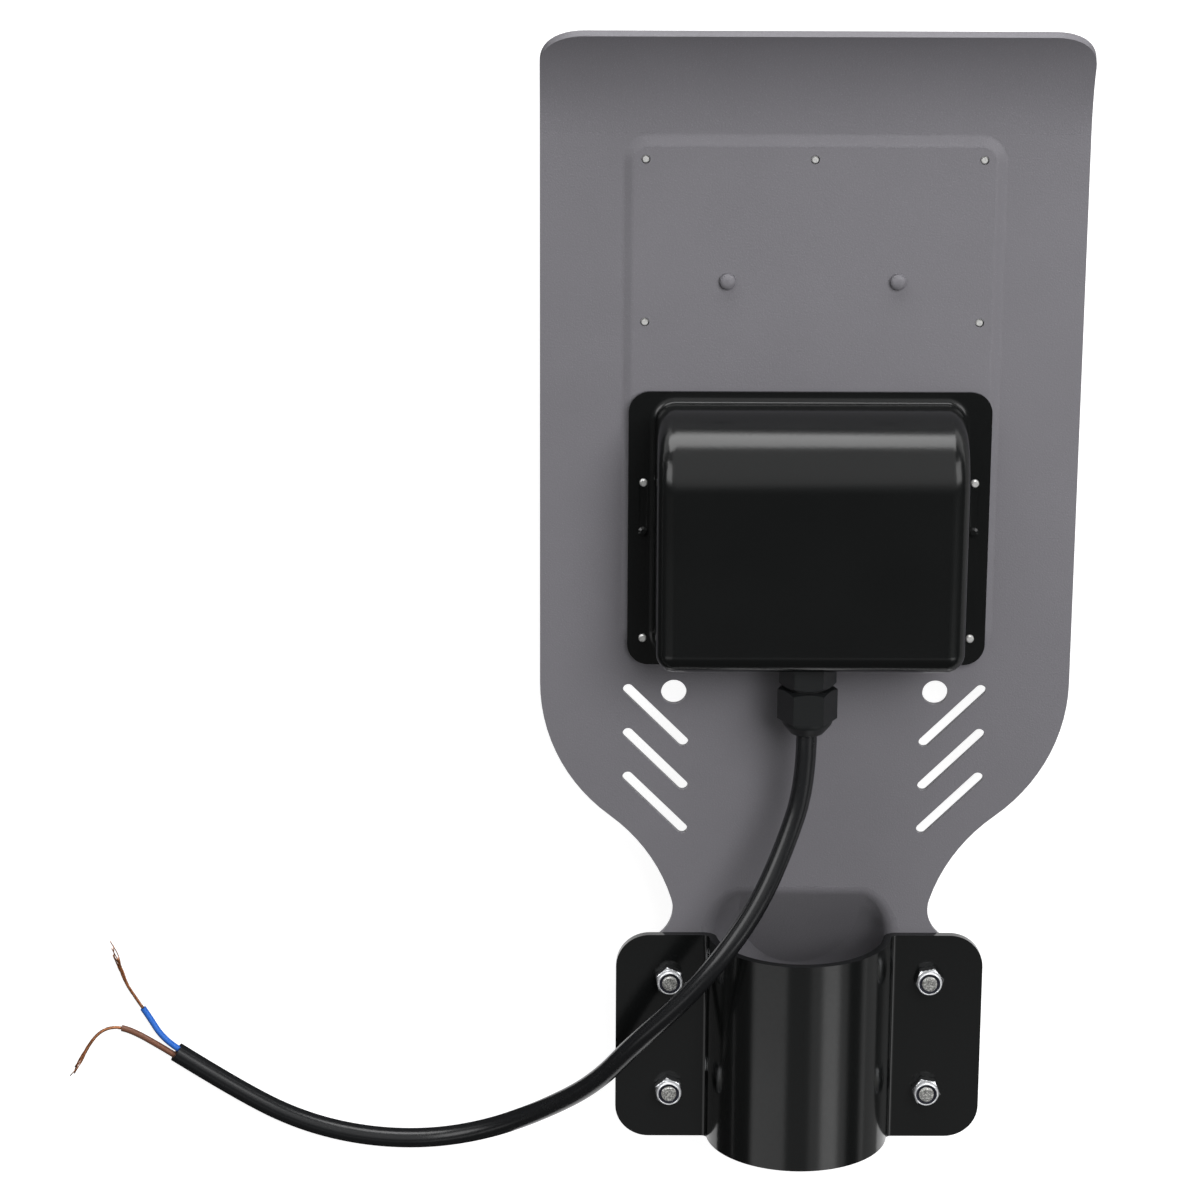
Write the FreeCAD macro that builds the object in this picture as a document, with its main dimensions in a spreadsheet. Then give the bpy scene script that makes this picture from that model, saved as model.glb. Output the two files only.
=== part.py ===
"""Head of an LED street light, lying with its lens down and its supply cable brought out.

Frame, in millimetres: the origin is on the pole's axis at the mouth of the clamp, +Y runs from the
pole to the curled tip, +X is to the right, and +Z points to the sky side, where the driver sits.
The sky face of the pressed plate is z = 0, so the pole's axis lies in that face.
"""
import FreeCAD
import Part
import Sketcher
import math
import os

V = FreeCAD.Vector
HEAD_FACE = 0.475  # radius of a bolt head's or nut's bevelled face, in widths across flats
BLOCK_FACE = 0.485  # the same for the gland's hexagons
UP = V(0, 0, 1)
ALONG = V(0, 1, 0)
ROOT = -1
NEAR = 1e-4

doc = FreeCAD.newDocument("street_light_head")

# Driving sizes
DRIVING = {
    # pressed plate
    "plate_wide": 200.0, "sheet_thick": 2.5, "curl_start": 395.5, "curl_radius": 50.0,
    "curl_turn": 49.0, "tip_corner": 16.0, "shoulder_along": 185.5, "shoulder_radius": 67.0,
    "waist_radius": 67.7, "neck_half": 49.0, "neck_along": 93.9, "neck_radius": 13.9,
    "tail_half": 69.0, "tail_corner": 9.0,
    # raised field that the lens and the driver are fixed to
    "field_edge": 4.7, "field_low": 200.8, "field_high": 391.2, "field_corner": 6.0,
    "field_rise": 1.5, "field_slope": 3.3, "press_bend": 3.0,
    # trough of the pole socket
    "pole_radius": 32.0, "seat_long": 57.0, "nose_end": 101.0, "nose_slope": 36.0,
    "nose_flare": 2.0, "nose_bend": 10.0, "rim_bend": 6.5,
    # mounting holes and slots
    "mount_hole": 4.8, "mount_half": 49.4, "mount_along": 181.8, "slot_wide": 4.1,
    "slot_half": 66.6, "slot_along": 182.8, "slot_run": 20.8, "slot_pitch": 17.55,
    "slot_count": 3,
    # upper half of the clamp
    "clamp_long": 84.2, "clamp_half": 70.7, "clamp_thick": 3.0, "clamp_slack": 0.4,
    "clamp_bend": 2.0, "clamp_corner": 13.0, "bolt_half": 50.0, "bolt_low": 20.2,
    "bolt_high": 66.4, "bolt_radius": 2.9, "bolt_hole": 3.3, "bolt_head_tall": 4.0,
    "nut_across": 10.0, "nut_hex_tall": 4.0, "nut_tall": 6.0, "nut_collar": 4.85,
    "nut_mouth": 3.8, "bolt_end": 2.5, "thread_gap": 0.05,
    # driver cover
    "cover_thick": 1.2, "flange_edge": 5.7, "flange_back": 6.5, "flange_front": 8.0,
    "flange_corner": 8.0, "box_clear": 4.5, "box_low": 200.5, "box_high": 291.7,
    "box_top": 39.0, "box_front_round": 19.0, "box_back_round": 8.0, "box_side_round": 7.0,
    "box_foot": 2.5, "rivet_head": 1.9, "rivet_shank": 1.2, "rivet_tall": 0.9,
    # gasket under the cover
    "seal_thick": 1.0, "seal_edge": 1.4, "seal_back": 0.1, "seal_corner": 7.0,
    "seal_lip": 5.0, "seal_lip_front": 2.7, "seal_inner_corner": 4.0,
    # cable gland
    "gland_tall": 20.0, "gland_across": 18.5, "gland_flange": 8.9, "gland_thread": 7.6,
    "gland_neck": 1.0, "gland_inside": 9.0, "gland_seat": 5.6, "cap_across": 19.5,
    "cap_hex": 12.2, "cap_dome": 5.5, "cap_nose": 6.2, "locknut_across": 19.0,
    "locknut_thick": 4.8, "cable_radius": 3.9, "cable_gap": 0.1,
    # driver and its leads
    "driver_side": 15.0, "driver_back": 17.5, "driver_front": 13.7, "driver_tall": 28.0,
    "driver_edge": 2.0, "lead_radius": 0.9, "lead_half": 3.5, "lead_tall": 9.0,
    "lead_run": 4.5, "lead_hole": 5.5, "lead_bend": 2.5,
    # lamp board and its chips
    "board_gap": 2.0, "board_thick": 1.6, "chip_wide": 5.0, "chip_thick": 0.9,
    "chip_pitch_x": 18.0, "chip_pitch_y": 21.0, "chip_columns": 6, "chip_rows": 8,
    "boss_half": 31.2, "boss_along": 341.0, "boss_radius": 3.0, "boss_tall": 2.0,
    # lens and its gasket
    "lens_edge": 3.5, "lens_inset": 1.2, "lens_corner": 6.0, "lens_thick": 3.5,
    "lens_hollow": 1.9, "lens_rim": 8.0,
    "dome_radius": 7.4, "dome_tall": 4.2, "dome_slant": 3.0,
    # screws through the lens, the plate and the flange
    "screw_half": 61.5, "screw_inset_low": 2.5, "screw_inset_high": 4.0, "screw_rows": 4,
    "screw_radius": 1.45, "screw_hole": 1.65, "screw_head": 2.9, "screw_head_tall": 1.8,
    "screw_proud": 1.2, "screw_short": 0.2,
    # cores of the supply cable
    "core_radius": 1.25, "strand_radius": 0.7,
}

sheet = doc.addObject("Spreadsheet::Sheet", "Sizes")
for row, (alias, number) in enumerate(DRIVING.items(), 1):
    sheet.set(f"A{row}", alias.replace("_", " "))
    sheet.set(f"B{row}", str(number))
    sheet.setAlias(f"B{row}", alias)
doc.recompute()


class Size:
    """A number from the sheet, carried with the expression that gives it."""

    def __init__(self, number, text):
        self.number = number
        self.text = text

    def __add__(self, other):
        other = as_size(other)
        return Size(self.number + other.number, f"({self.text} + {other.text})")

    def __sub__(self, other):
        other = as_size(other)
        return Size(self.number - other.number, f"({self.text} - {other.text})")

    def __mul__(self, other):
        other = as_size(other)
        return Size(self.number * other.number, f"({self.text} * {other.text})")

    def __truediv__(self, other):
        other = as_size(other)
        return Size(self.number / other.number, f"({self.text} / {other.text})")

    def __rsub__(self, other):
        return as_size(other) - self

    def __neg__(self):
        return Size(-self.number, f"(0 - {self.text})")

    __radd__ = __add__
    __rmul__ = __mul__


def as_size(value):
    """The value itself if it is a Size, or a plain number as one."""
    return value if isinstance(value, Size) else Size(float(value), f"{float(value)}")


def root_of(size):
    """The square root of a size."""
    return Size(math.sqrt(size.number), f"sqrt({size.text})")


class Cells:
    """The sheet's cells by name, as sizes."""

    def __getattr__(self, alias):
        return Size(float(sheet.get(alias)), f"Sizes.{alias}")


s = Cells()


def bind(thing, **places):
    """Tie properties of an object to sizes."""
    for name, size in places.items():
        size = as_size(size)
        if not hasattr(thing, name):
            raise ValueError(f"{thing.Label} has no {name}")
        setattr(thing, name, size.number)
        thing.setExpression(name, size.text)


# Levels and places that follow from the driving sizes
plate_under = -s.sheet_thick
field_under = s.field_rise - s.sheet_thick
flange_under = s.field_rise + s.seal_thick
flange_top = flange_under + s.cover_thick
board_under = field_under - s.board_thick
lens_top = plate_under
lens_under = lens_top - s.lens_thick
cap_low = s.box_low - s.gland_flange - s.gland_neck - s.cap_hex
cap_end = cap_low - s.cap_dome
field_half = s.screw_half + s.field_edge
lens_half = s.screw_half + s.lens_edge
lens_low = s.field_low + s.lens_inset
lens_high = s.field_high - s.lens_inset
rim_inner = lens_half - s.lens_rim
inner_low = lens_low + s.lens_rim
inner_high = lens_high - s.lens_rim
board_half = rim_inner - s.board_gap
board_low = inner_low + s.board_gap
board_high = inner_high - s.board_gap
box_half = s.screw_half - s.box_clear
flange_half = s.screw_half + s.flange_edge
flange_low = s.box_low - s.flange_back
flange_high = s.box_high + s.flange_front
driver_high = s.box_high - s.driver_front
lead_drop = driver_high + s.lead_run
row_count = int(s.screw_rows.number)
row_first = lens_low + s.screw_inset_low
row_pitch = (lens_high - s.screw_inset_high - row_first) / (s.screw_rows - 1)
screw_rows = [row_first + row_pitch * step for step in range(row_count)]
cover_screws = [(side * s.screw_half, row) for side in (-1, 1) for row in screw_rows[:2]]
panel_screws = [(side * s.screw_half, row) for side in (-1, 1) for row in screw_rows[2:]]
panel_screws += [(as_size(0), screw_rows[0]), (as_size(0), screw_rows[-1])]
bolts = [(side * s.bolt_half, along) for side in (-1, 1) for along in (s.bolt_low, s.bolt_high)]


# Sketches
def new_body(name):
    """An empty body."""
    return doc.addObject("PartDesign::Body", name)


def sketch_on(body, role, level=0, height=0):
    """A sketch on one of the body's own origin planes, moved off it by level."""
    plane = [feature for feature in body.Origin.OriginFeatures if feature.Role == role][0]
    sketch = body.newObject("Sketcher::SketchObject", body.Name + "_sketch")
    sketch.AttachmentSupport = (plane, [""])
    sketch.MapMode = "FlatFace"
    level, height = as_size(level), as_size(height)
    sketch.AttachmentOffset = FreeCAD.Placement(V(0, height.number, level.number), FreeCAD.Rotation())
    sketch.setExpression("AttachmentOffset.Base.z", level.text)
    sketch.setExpression("AttachmentOffset.Base.y", height.text)
    return sketch


def hold(sketch, kind, where, size):
    """Dimension a curve of a sketch, or one of its points from the sketch's origin."""
    size = as_size(size)
    place = where if kind == "Radius" else (ROOT, 1) + where
    index = sketch.addConstraint(Sketcher.Constraint(kind, *place, size.number))
    sketch.setExpression(f"Constraints[{index}]", size.text)


class Chain:
    """One closed outline of lines and arcs, drawn in order and then joined end to end."""

    def __init__(self, sketch):
        self.sketch = sketch
        self.pieces = []

    def line(self, start, end):
        """A straight stretch, kept level or upright if it is drawn so."""
        index = self.sketch.addGeometry(Part.LineSegment(V(*start, 0), V(*end, 0)), False)
        run = V(*end, 0) - V(*start, 0)
        run.normalize()
        if abs(run.y) < NEAR:
            self.sketch.addConstraint(Sketcher.Constraint("Horizontal", index))
        elif abs(run.x) < NEAR:
            self.sketch.addConstraint(Sketcher.Constraint("Vertical", index))
        self.pieces.append((index, 1, 2, run, run))
        return index

    def arc(self, centre, start, end, left):
        """A round stretch about a centre, which turns to the left or to the right."""
        middle = V(*centre, 0)
        first, last = V(*start, 0) - middle, V(*end, 0) - middle
        low, high = (first, last) if left else (last, first)
        angles = math.atan2(low.y, low.x), math.atan2(high.y, high.x)
        curve = Part.ArcOfCircle(Part.Circle(middle, UP, first.Length), *angles)
        index = self.sketch.addGeometry(curve, False)
        turn = 1 if left else -1
        leave = V(-first.y, first.x, 0) * (turn / first.Length)
        arrive = V(-last.y, last.x, 0) * (turn / last.Length)
        ends = (1, 2) if left else (2, 1)
        self.pieces.append((index, *ends, leave, arrive))
        return index

    def close(self):
        """Join each stretch to the next, tangent where they run on smoothly."""
        for here, after in zip(self.pieces, self.pieces[1:] + self.pieces[:1]):
            smooth = (here[4] - after[3]).Length < 100 * NEAR
            kind = "Tangent" if smooth else "Coincident"
            self.sketch.addConstraint(Sketcher.Constraint(kind, here[0], here[2], after[0], after[1]))


def outline(sketch, corners):
    """A closed outline through corners (x, y, radius), each with its size from the sheet."""
    corners = [tuple(as_size(value) for value in corner) for corner in corners]
    count = len(corners)
    points = [V(corner[0].number, corner[1].number, 0) for corner in corners]
    runs = [points[(i + 1) % count] - points[i] for i in range(count)]
    runs = [run.normalize() for run in runs]
    starts, ends, middles = [], [], []
    for i in range(count):
        radius = corners[i][2].number
        before, after = runs[i - 1], runs[i]
        side = before.x * after.y - before.y * after.x
        trim = radius * math.tan(before.getAngle(after) / 2)
        ends.append(points[i] - before * trim)
        starts.append(points[i] + after * trim)
        turn = 1 if side > 0 else -1
        middles.append((ends[i] + V(-before.y, before.x, 0) * (radius * turn), turn))
    chain = Chain(sketch)
    for i in range(count):
        after = (i + 1) % count
        edge = chain.line(starts[i][:2], ends[after][:2])
        level, upright = abs(runs[i].y) < NEAR, abs(runs[i].x) < NEAR
        if level:
            hold(sketch, "DistanceY", (edge, 1), corners[i][1])
        elif upright:
            hold(sketch, "DistanceX", (edge, 1), corners[i][0])
        sharp = corners[after][2].number == 0
        if sharp and not (level or upright) and abs(runs[after].y) > NEAR:
            hold(sketch, "DistanceY", (edge, 2), corners[after][1])
        if sharp and not (level or upright) and abs(runs[after].x) > NEAR:
            hold(sketch, "DistanceX", (edge, 2), corners[after][0])
        if sharp and level and abs(runs[after].x) > NEAR:
            hold(sketch, "DistanceX", (edge, 2), corners[after][0])
        if sharp and upright and abs(runs[after].y) > NEAR:
            hold(sketch, "DistanceY", (edge, 2), corners[after][1])
        if not sharp:
            middle, turn = middles[after]
            curve = chain.arc(middle[:2], ends[after][:2], starts[after][:2], turn > 0)
            hold(sketch, "Radius", (curve,), corners[after][2])
    chain.close()
    return sketch


def field(sketch, half, low, high, corner):
    """A rectangle with round corners, centred on the part's middle line."""
    return outline(sketch, [(-half, low, corner), (half, low, corner),
                            (half, high, corner), (-half, high, corner)])


def rings(sketch, places, radius):
    """Equal circles at places (x, y)."""
    for x, y in places:
        x, y = as_size(x), as_size(y)
        index = sketch.addGeometry(Part.Circle(V(x.number, y.number, 0), UP, radius.number), False)
        hold(sketch, "Radius", (index,), radius)
        hold(sketch, "DistanceX", (index, 3), x)
        hold(sketch, "DistanceY", (index, 3), y)
    return sketch


# Features
def pad(body, sketch, length, both=False, back=False):
    """Add the sketch's outline to the body, to one side of it or to both."""
    feature = body.newObject("PartDesign::Pad", body.Name + "_pad")
    feature.Profile = sketch
    bind(feature, Length=length)
    feature.SideType = "Symmetric" if both else "One side"
    feature.Reversed = back
    doc.recompute()
    return feature


def pocket(body, sketch, length, both=False, back=False):
    """Cut the sketch's outline out of the body, and make sure that it cut something."""
    before = body.Shape.Volume
    feature = body.newObject("PartDesign::Pocket", body.Name + "_pocket")
    feature.Profile = sketch
    bind(feature, Length=length)
    feature.SideType = "Symmetric" if both else "One side"
    feature.Reversed = back
    doc.recompute()
    if body.Shape.Volume > before - NEAR:
        raise ValueError(body.Name + " has a pocket that cuts nothing")
    return feature


def turned(body, kind, sketch, axis):
    """Turn a sketch about one of its own axes, as a Revolution or a Groove."""
    feature = body.newObject("PartDesign::" + kind, body.Name + "_turned")
    feature.Profile = sketch
    feature.ReferenceAxis = (sketch, [axis])
    feature.Angle = 360
    doc.recompute()
    return feature


def loft(body, kind, first, second):
    """Straight walls between two outlines, added or cut."""
    feature = body.newObject("PartDesign::" + kind, body.Name + "_loft")
    feature.Profile = first
    feature.Sections = [second]
    feature.Ruled = True
    doc.recompute()
    return feature


def edges_where(shape, test):
    """The names of a shape's edges that pass a test."""
    return [f"Edge{i}" for i, edge in enumerate(shape.Edges, 1) if test(edge)]


def dressed(body, kind, test, **size):
    """A Fillet or a Chamfer on the edges of the body's last feature that pass a test."""
    base = body.Tip
    names = edges_where(base.Shape, test)
    if not names:
        raise ValueError(body.Name + " has no edge to work on")
    feature = body.newObject("PartDesign::" + kind, body.Name + "_" + kind)
    feature.Base = (base, names)
    bind(feature, **size)
    doc.recompute()
    return feature


def rounded(body, radius, test):
    """Round the edges that pass a test."""
    return dressed(body, "Fillet", test, Radius=radius)


def lies_at(edge, x=None, y=None, z=None):
    """Does the whole edge lie at these places?"""
    box = edge.BoundBox
    spans = ((x, box.XMin, box.XMax), (y, box.YMin, box.YMax), (z, box.ZMin, box.ZMax))
    return all(place is None or (abs(low - place.number) < 0.01 and abs(high - place.number) < 0.01)
               for place, low, high in spans)


def boolean(kind, name, base, tool):
    """A Part::Cut, Part::Fuse or Part::Common of two objects."""
    feature = doc.addObject("Part::" + kind, name)
    feature.Base = base
    feature.Tool = tool
    feature.Refine = True
    doc.recompute()
    return feature


def part_fillet(name, base, radius, test):
    """Round the edges of any object that pass a test."""
    feature = doc.addObject("Part::Fillet", name)
    feature.Base = base
    picked = [i for i, edge in enumerate(base.Shape.Edges, 1) if test(edge)]
    if not picked:
        raise ValueError(name + " has no edge to round")
    feature.Edges = [(i, radius.number, radius.number) for i in picked]
    doc.recompute()
    return feature


def group(label, master, places):
    """Copies of one piece at places (x, y, turn in degrees), kept together as one node."""
    links = []
    for number, (x, y, turn) in enumerate(places, 1):
        link = doc.addObject("App::Link", f"{label}_{number}")
        link.LinkedObject = master
        x, y = as_size(x), as_size(y)
        link.Placement = FreeCAD.Placement(V(x.number, y.number, 0), FreeCAD.Rotation(UP, turn))
        link.setExpression("Placement.Base.x", x.text)
        link.setExpression("Placement.Base.y", y.text)
        links.append(link)
    together = doc.addObject("Part::Compound", label)
    together.Links = links
    return together


nodes = []


def node(thing, label):
    """Name a finished piece; its label names its file."""
    thing.Label = label
    nodes.append(thing)
    return thing


# Pressed plate: the flat blank with its tail ears, neck, waist and shoulders
def blank_outline(sketch):
    """The plate's edge, from the middle of the tail round to itself."""
    wide, neck_x = s.plate_wide.number / 2, (s.neck_half + s.neck_radius).number
    shoulder = V(wide - s.shoulder_radius.number, s.shoulder_along.number, 0)
    neck = V(neck_x, s.neck_along.number, 0)
    far = s.shoulder_radius.number + s.waist_radius.number
    close = s.waist_radius.number - s.neck_radius.number
    across = shoulder - neck
    share = (close ** 2 - far ** 2 + across.Length ** 2) / (2 * across.Length)
    reach = math.sqrt(close ** 2 - share ** 2)
    way = across / across.Length
    waist = neck + way * share + V(way.y, -way.x, 0) * reach
    to_neck = neck - waist
    to_shoulder = shoulder - waist
    neck_touch = waist + to_neck * (s.waist_radius.number / to_neck.Length)
    shoulder_touch = waist + to_shoulder * (s.waist_radius.number / to_shoulder.Length)
    tail, corner = s.tail_half.number, s.tail_corner.number
    ear = s.tail_half - s.neck_half - s.neck_radius
    ear_top = s.neck_along - s.neck_radius
    ear_mid = (tail - ear.number, ear_top.number - ear.number)
    chain = Chain(sketch)

    def flip(point, side):
        return (side * point[0], point[1])

    def half(side, order):
        """The outline's right half upwards, or its left half downwards."""
        steps = [
            ("arc", (tail - corner, corner), (tail - corner, 0), (tail, corner), True, s.tail_corner),
            ("line", (tail, corner), (tail, ear_mid[1]), s.tail_half),
            ("arc", ear_mid, (tail, ear_mid[1]), (ear_mid[0], ear_top.number), True, ear),
            ("arc", neck[:2], (neck.x, ear_top.number), neck_touch[:2], False, s.neck_radius),
            ("arc", waist[:2], neck_touch[:2], shoulder_touch[:2], False, s.waist_radius),
            ("arc", shoulder[:2], shoulder_touch[:2], (wide, shoulder.y), True, s.shoulder_radius),
            ("line", (wide, shoulder.y), (wide, s.curl_start.number), s.plate_wide / 2),
        ]
        for step in steps[::order]:
            if step[0] == "line":
                ends = [flip(point, side) for point in step[1:3]][::order]
                edge = chain.line(*ends)
                hold(sketch, "DistanceX", (edge, 1), side * step[3])
                continue
            ends = [flip(point, side) for point in step[2:4]][::order]
            curve = chain.arc(flip(step[1], side), *ends, step[4])
            hold(sketch, "Radius", (curve,), step[5])
            if step[1] == neck[:2]:
                hold(sketch, "DistanceX", (curve, 3), side * (s.neck_half + s.neck_radius))
                hold(sketch, "DistanceY", (curve, 3), s.neck_along)
            if step[1] == shoulder[:2]:
                hold(sketch, "DistanceY", (curve, 3), s.shoulder_along)

    foot = chain.line((corner - tail, 0), (tail - corner, 0))
    hold(sketch, "DistanceY", (foot, 1), 0)
    half(1, 1)
    top = chain.line((wide, s.curl_start.number), (-wide, s.curl_start.number))
    hold(sketch, "DistanceY", (top, 1), s.curl_start)
    half(-1, -1)
    chain.close()
    return sketch


def curl_section(sketch):
    """The curled tip seen from the side: a strip that bends up about an axis above the plate."""
    start, radius = s.curl_start.number, s.curl_radius.number
    outer = radius + s.sheet_thick.number
    turn = math.radians(s.curl_turn.number)
    centre = V(start, radius, 0)
    lift = V(math.sin(turn), -math.cos(turn), 0)
    inner_end, outer_end = centre + lift * radius, centre + lift * outer
    chain = Chain(sketch)
    under = chain.arc(centre[:2], (start, -s.sheet_thick.number), outer_end[:2], True)
    chain.line(outer_end[:2], inner_end[:2])
    upper = chain.arc(centre[:2], inner_end[:2], (start, 0), False)
    edge = chain.line((start, 0), (start, -s.sheet_thick.number))
    chain.close()
    hold(sketch, "Radius", (under,), s.curl_radius + s.sheet_thick)
    hold(sketch, "Radius", (upper,), s.curl_radius)
    hold(sketch, "DistanceX", (edge, 1), s.curl_start)
    return sketch


def slot_outline(sketch, side, low):
    """One slanted slot with round ends."""
    half = s.slot_wide / 2
    out = V(side * s.slot_half.number, low.number, 0)
    inn = out + V(-side, -1, 0) * s.slot_run.number
    way = (inn - out).normalize()
    across = V(-way.y, way.x, 0) * half.number
    chain = Chain(sketch)
    chain.line((out + across)[:2], (inn + across)[:2])
    near = chain.arc(inn[:2], (inn + across)[:2], (inn - across)[:2], False)
    chain.line((inn - across)[:2], (out - across)[:2])
    far = chain.arc(out[:2], (out - across)[:2], (out + across)[:2], False)
    chain.close()
    hold(sketch, "Radius", (near,), half)
    hold(sketch, "DistanceX", (far, 3), side * s.slot_half)
    hold(sketch, "DistanceY", (far, 3), low)
    hold(sketch, "DistanceX", (near, 3), side * (s.slot_half - s.slot_run))
    hold(sketch, "DistanceY", (near, 3), low - s.slot_run)


plate = new_body("plate_blank")
pad(plate, blank_outline(sketch_on(plate, "XY_Plane")), s.sheet_thick, back=True)
pad(plate, curl_section(sketch_on(plate, "YZ_Plane")), s.plate_wide, both=True)

tip_along = s.curl_start.number + s.curl_radius.number * math.sin(math.radians(s.curl_turn.number))


def tip_corner_edge(edge):
    """The two short edges through the sheet at the corners of the tip."""
    box = edge.BoundBox
    side = abs(abs(edge.CenterOfMass.x) - s.plate_wide.number / 2) < NEAR
    return side and box.XLength < NEAR and box.YMin > tip_along - NEAR and "Line" in edge.Curve.TypeId


rounded(plate, s.tip_corner, tip_corner_edge)

# Raised field, pressed up from below, so that the sheet keeps its thickness
field_foot = (field_half + s.field_slope, s.field_low - s.field_slope, s.field_high + s.field_slope,
              s.field_corner + s.field_slope)
field_crown = (field_half, s.field_low, s.field_high, s.field_corner)
for kind, level in (("AdditiveLoft", as_size(0)), ("SubtractiveLoft", plate_under)):
    foot = field(sketch_on(plate, "XY_Plane", level), *field_foot)
    crown = field(sketch_on(plate, "XY_Plane", level + s.field_rise), *field_crown)
    loft(plate, kind, foot, crown)


def field_edge(edge):
    """The edges where the field's slope meets the flat sheet, above and below."""
    box = edge.BoundBox
    levels = (as_size(0), s.field_rise, plate_under, field_under)
    flat = any(lies_at(edge, z=level) for level in levels)
    high = field_foot[2].number + NEAR
    inside = box.YMin > field_foot[1].number - NEAR and box.YMax < high
    return flat and inside and max(abs(box.XMin), abs(box.XMax)) < field_foot[0].number + NEAR


rounded(plate, s.press_bend, field_edge)

# Bosses that hold the lamp board's screws, blind from below
boss_places = [(side * s.boss_half, s.boss_along) for side in (-1, 1)]
boss_top = s.field_rise + s.boss_tall
pad(plate, rings(sketch_on(plate, "XY_Plane", s.field_rise), boss_places, s.boss_radius), s.boss_tall)
rounded(plate, s.boss_radius / 3, lambda edge: lies_at(edge, z=boss_top))
pocket(plate, rings(sketch_on(plate, "XY_Plane", field_under), boss_places, s.screw_hole),
       s.sheet_thick + s.boss_tall / 2, back=True)

# Holes and slots right through the sheet
through = 6 * s.sheet_thick
pocket(plate, rings(sketch_on(plate, "XY_Plane"), cover_screws + panel_screws, s.screw_hole),
       through, both=True)
pocket(plate, rings(sketch_on(plate, "XY_Plane"), [(side * s.mount_half, s.mount_along) for side in (-1, 1)],
                    s.mount_hole), through, both=True)
pocket(plate, rings(sketch_on(plate, "XY_Plane"), bolts, s.bolt_hole), through, both=True)
pocket(plate, rings(sketch_on(plate, "XY_Plane"), [(0, lead_drop)], s.lead_hole), through, both=True)
rivet_along = (s.box_low + s.box_high) / 2
rivets = [(side * s.screw_half, rivet_along) for side in (-1, 1)]
rivet_hole = s.rivet_shank + s.thread_gap
pocket(plate, rings(sketch_on(plate, "XY_Plane"), rivets, rivet_hole), through, both=True)
slots = sketch_on(plate, "XY_Plane")
for step in range(int(s.slot_count.number)):
    for side in (-1, 1):
        slot_outline(slots, side, s.slot_along - s.slot_pitch * step)
pocket(plate, slots, through, both=True)


# Trough: the half round seat of the pole, closed by a ramp that climbs back to the sheet
def trough_solid(name, radius, first, nose, bend):
    """A half round bar with a slightly flared nose, cut off by the slope of the ramp."""
    slope = math.radians(s.nose_slope.number)
    seat_end = s.seat_long
    bar = doc.addObject("Part::Cylinder", name + "_bar")
    bind(bar, Radius=radius, Height=seat_end - first)
    bar.Placement = FreeCAD.Placement(V(0, first.number, 0), FreeCAD.Rotation(V(1, 0, 0), -90))
    bar.setExpression("Placement.Base.y", first.text)
    cone = doc.addObject("Part::Cone", name + "_cone")
    bind(cone, Radius1=radius, Radius2=radius + s.nose_flare, Height=nose - seat_end + radius / 4)
    cone.Placement = FreeCAD.Placement(V(0, seat_end.number, 0), FreeCAD.Rotation(V(1, 0, 0), -90))
    cone.setExpression("Placement.Base.y", seat_end.text)
    whole = boolean("Fuse", name + "_whole", bar, cone)
    deep = radius * 1.5
    back = Size(deep.number / math.tan(slope), f"({deep.text} / tan(Sizes.nose_slope * 1deg))")
    below = new_body(name + "_below")
    corners = [(first, 0, 0), (first, -deep, 0), (nose - back, -deep, 0), (nose, 0, 0)]
    pad(below, outline(sketch_on(below, "YZ_Plane"), corners), radius * 4, both=True)
    half = boolean("Common", name + "_half", whole, below)
    normal = V(0, -math.sin(slope), math.cos(slope))
    start = V(0, nose.number, 0)

    def on_ramp(edge):
        ends = [edge.valueAt(edge.FirstParameter + share * (edge.LastParameter - edge.FirstParameter))
                for share in (0, 0.3, 0.7, 1)]
        flat = all(abs((point - start).dot(normal)) < 1e-3 for point in ends)
        return flat and "Line" not in edge.Curve.TypeId

    return part_fillet(name, half, bend, on_ramp)


sheet_slant = Size(s.sheet_thick.number / math.sin(math.radians(s.nose_slope.number)),
                   "(Sizes.sheet_thick / sin(Sizes.nose_slope * 1deg))")
skin = trough_solid("trough_skin", s.pole_radius + s.sheet_thick, as_size(0),
                    s.nose_end + sheet_slant, s.nose_bend + s.sheet_thick)
void = trough_solid("trough_void", s.pole_radius, -s.sheet_thick, s.nose_end, s.nose_bend)
pressed = boolean("Cut", "plate_hollow", boolean("Fuse", "plate_full", plate, skin), void)


def rim_edge(level, slack):
    """Edges of the trough's mouth at one level, apart from the one across its open end."""
    def test(edge):
        box = edge.BoundBox
        inside = abs(edge.CenterOfMass.x) < s.pole_radius.number + slack
        ahead = box.YMax > NEAR and box.YMax < s.nose_end.number + 4 * s.sheet_thick.number
        return lies_at(edge, z=level) and inside and ahead
    return test


reach = (s.rim_bend + s.nose_flare).number
rim = part_fillet("plate_rim", pressed, s.rim_bend, rim_edge(as_size(0), reach))
plate_done = part_fillet("plate_pressed", rim, s.rim_bend - s.sheet_thick, rim_edge(plate_under, reach))
node(plate_done, "body_plate")


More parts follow.
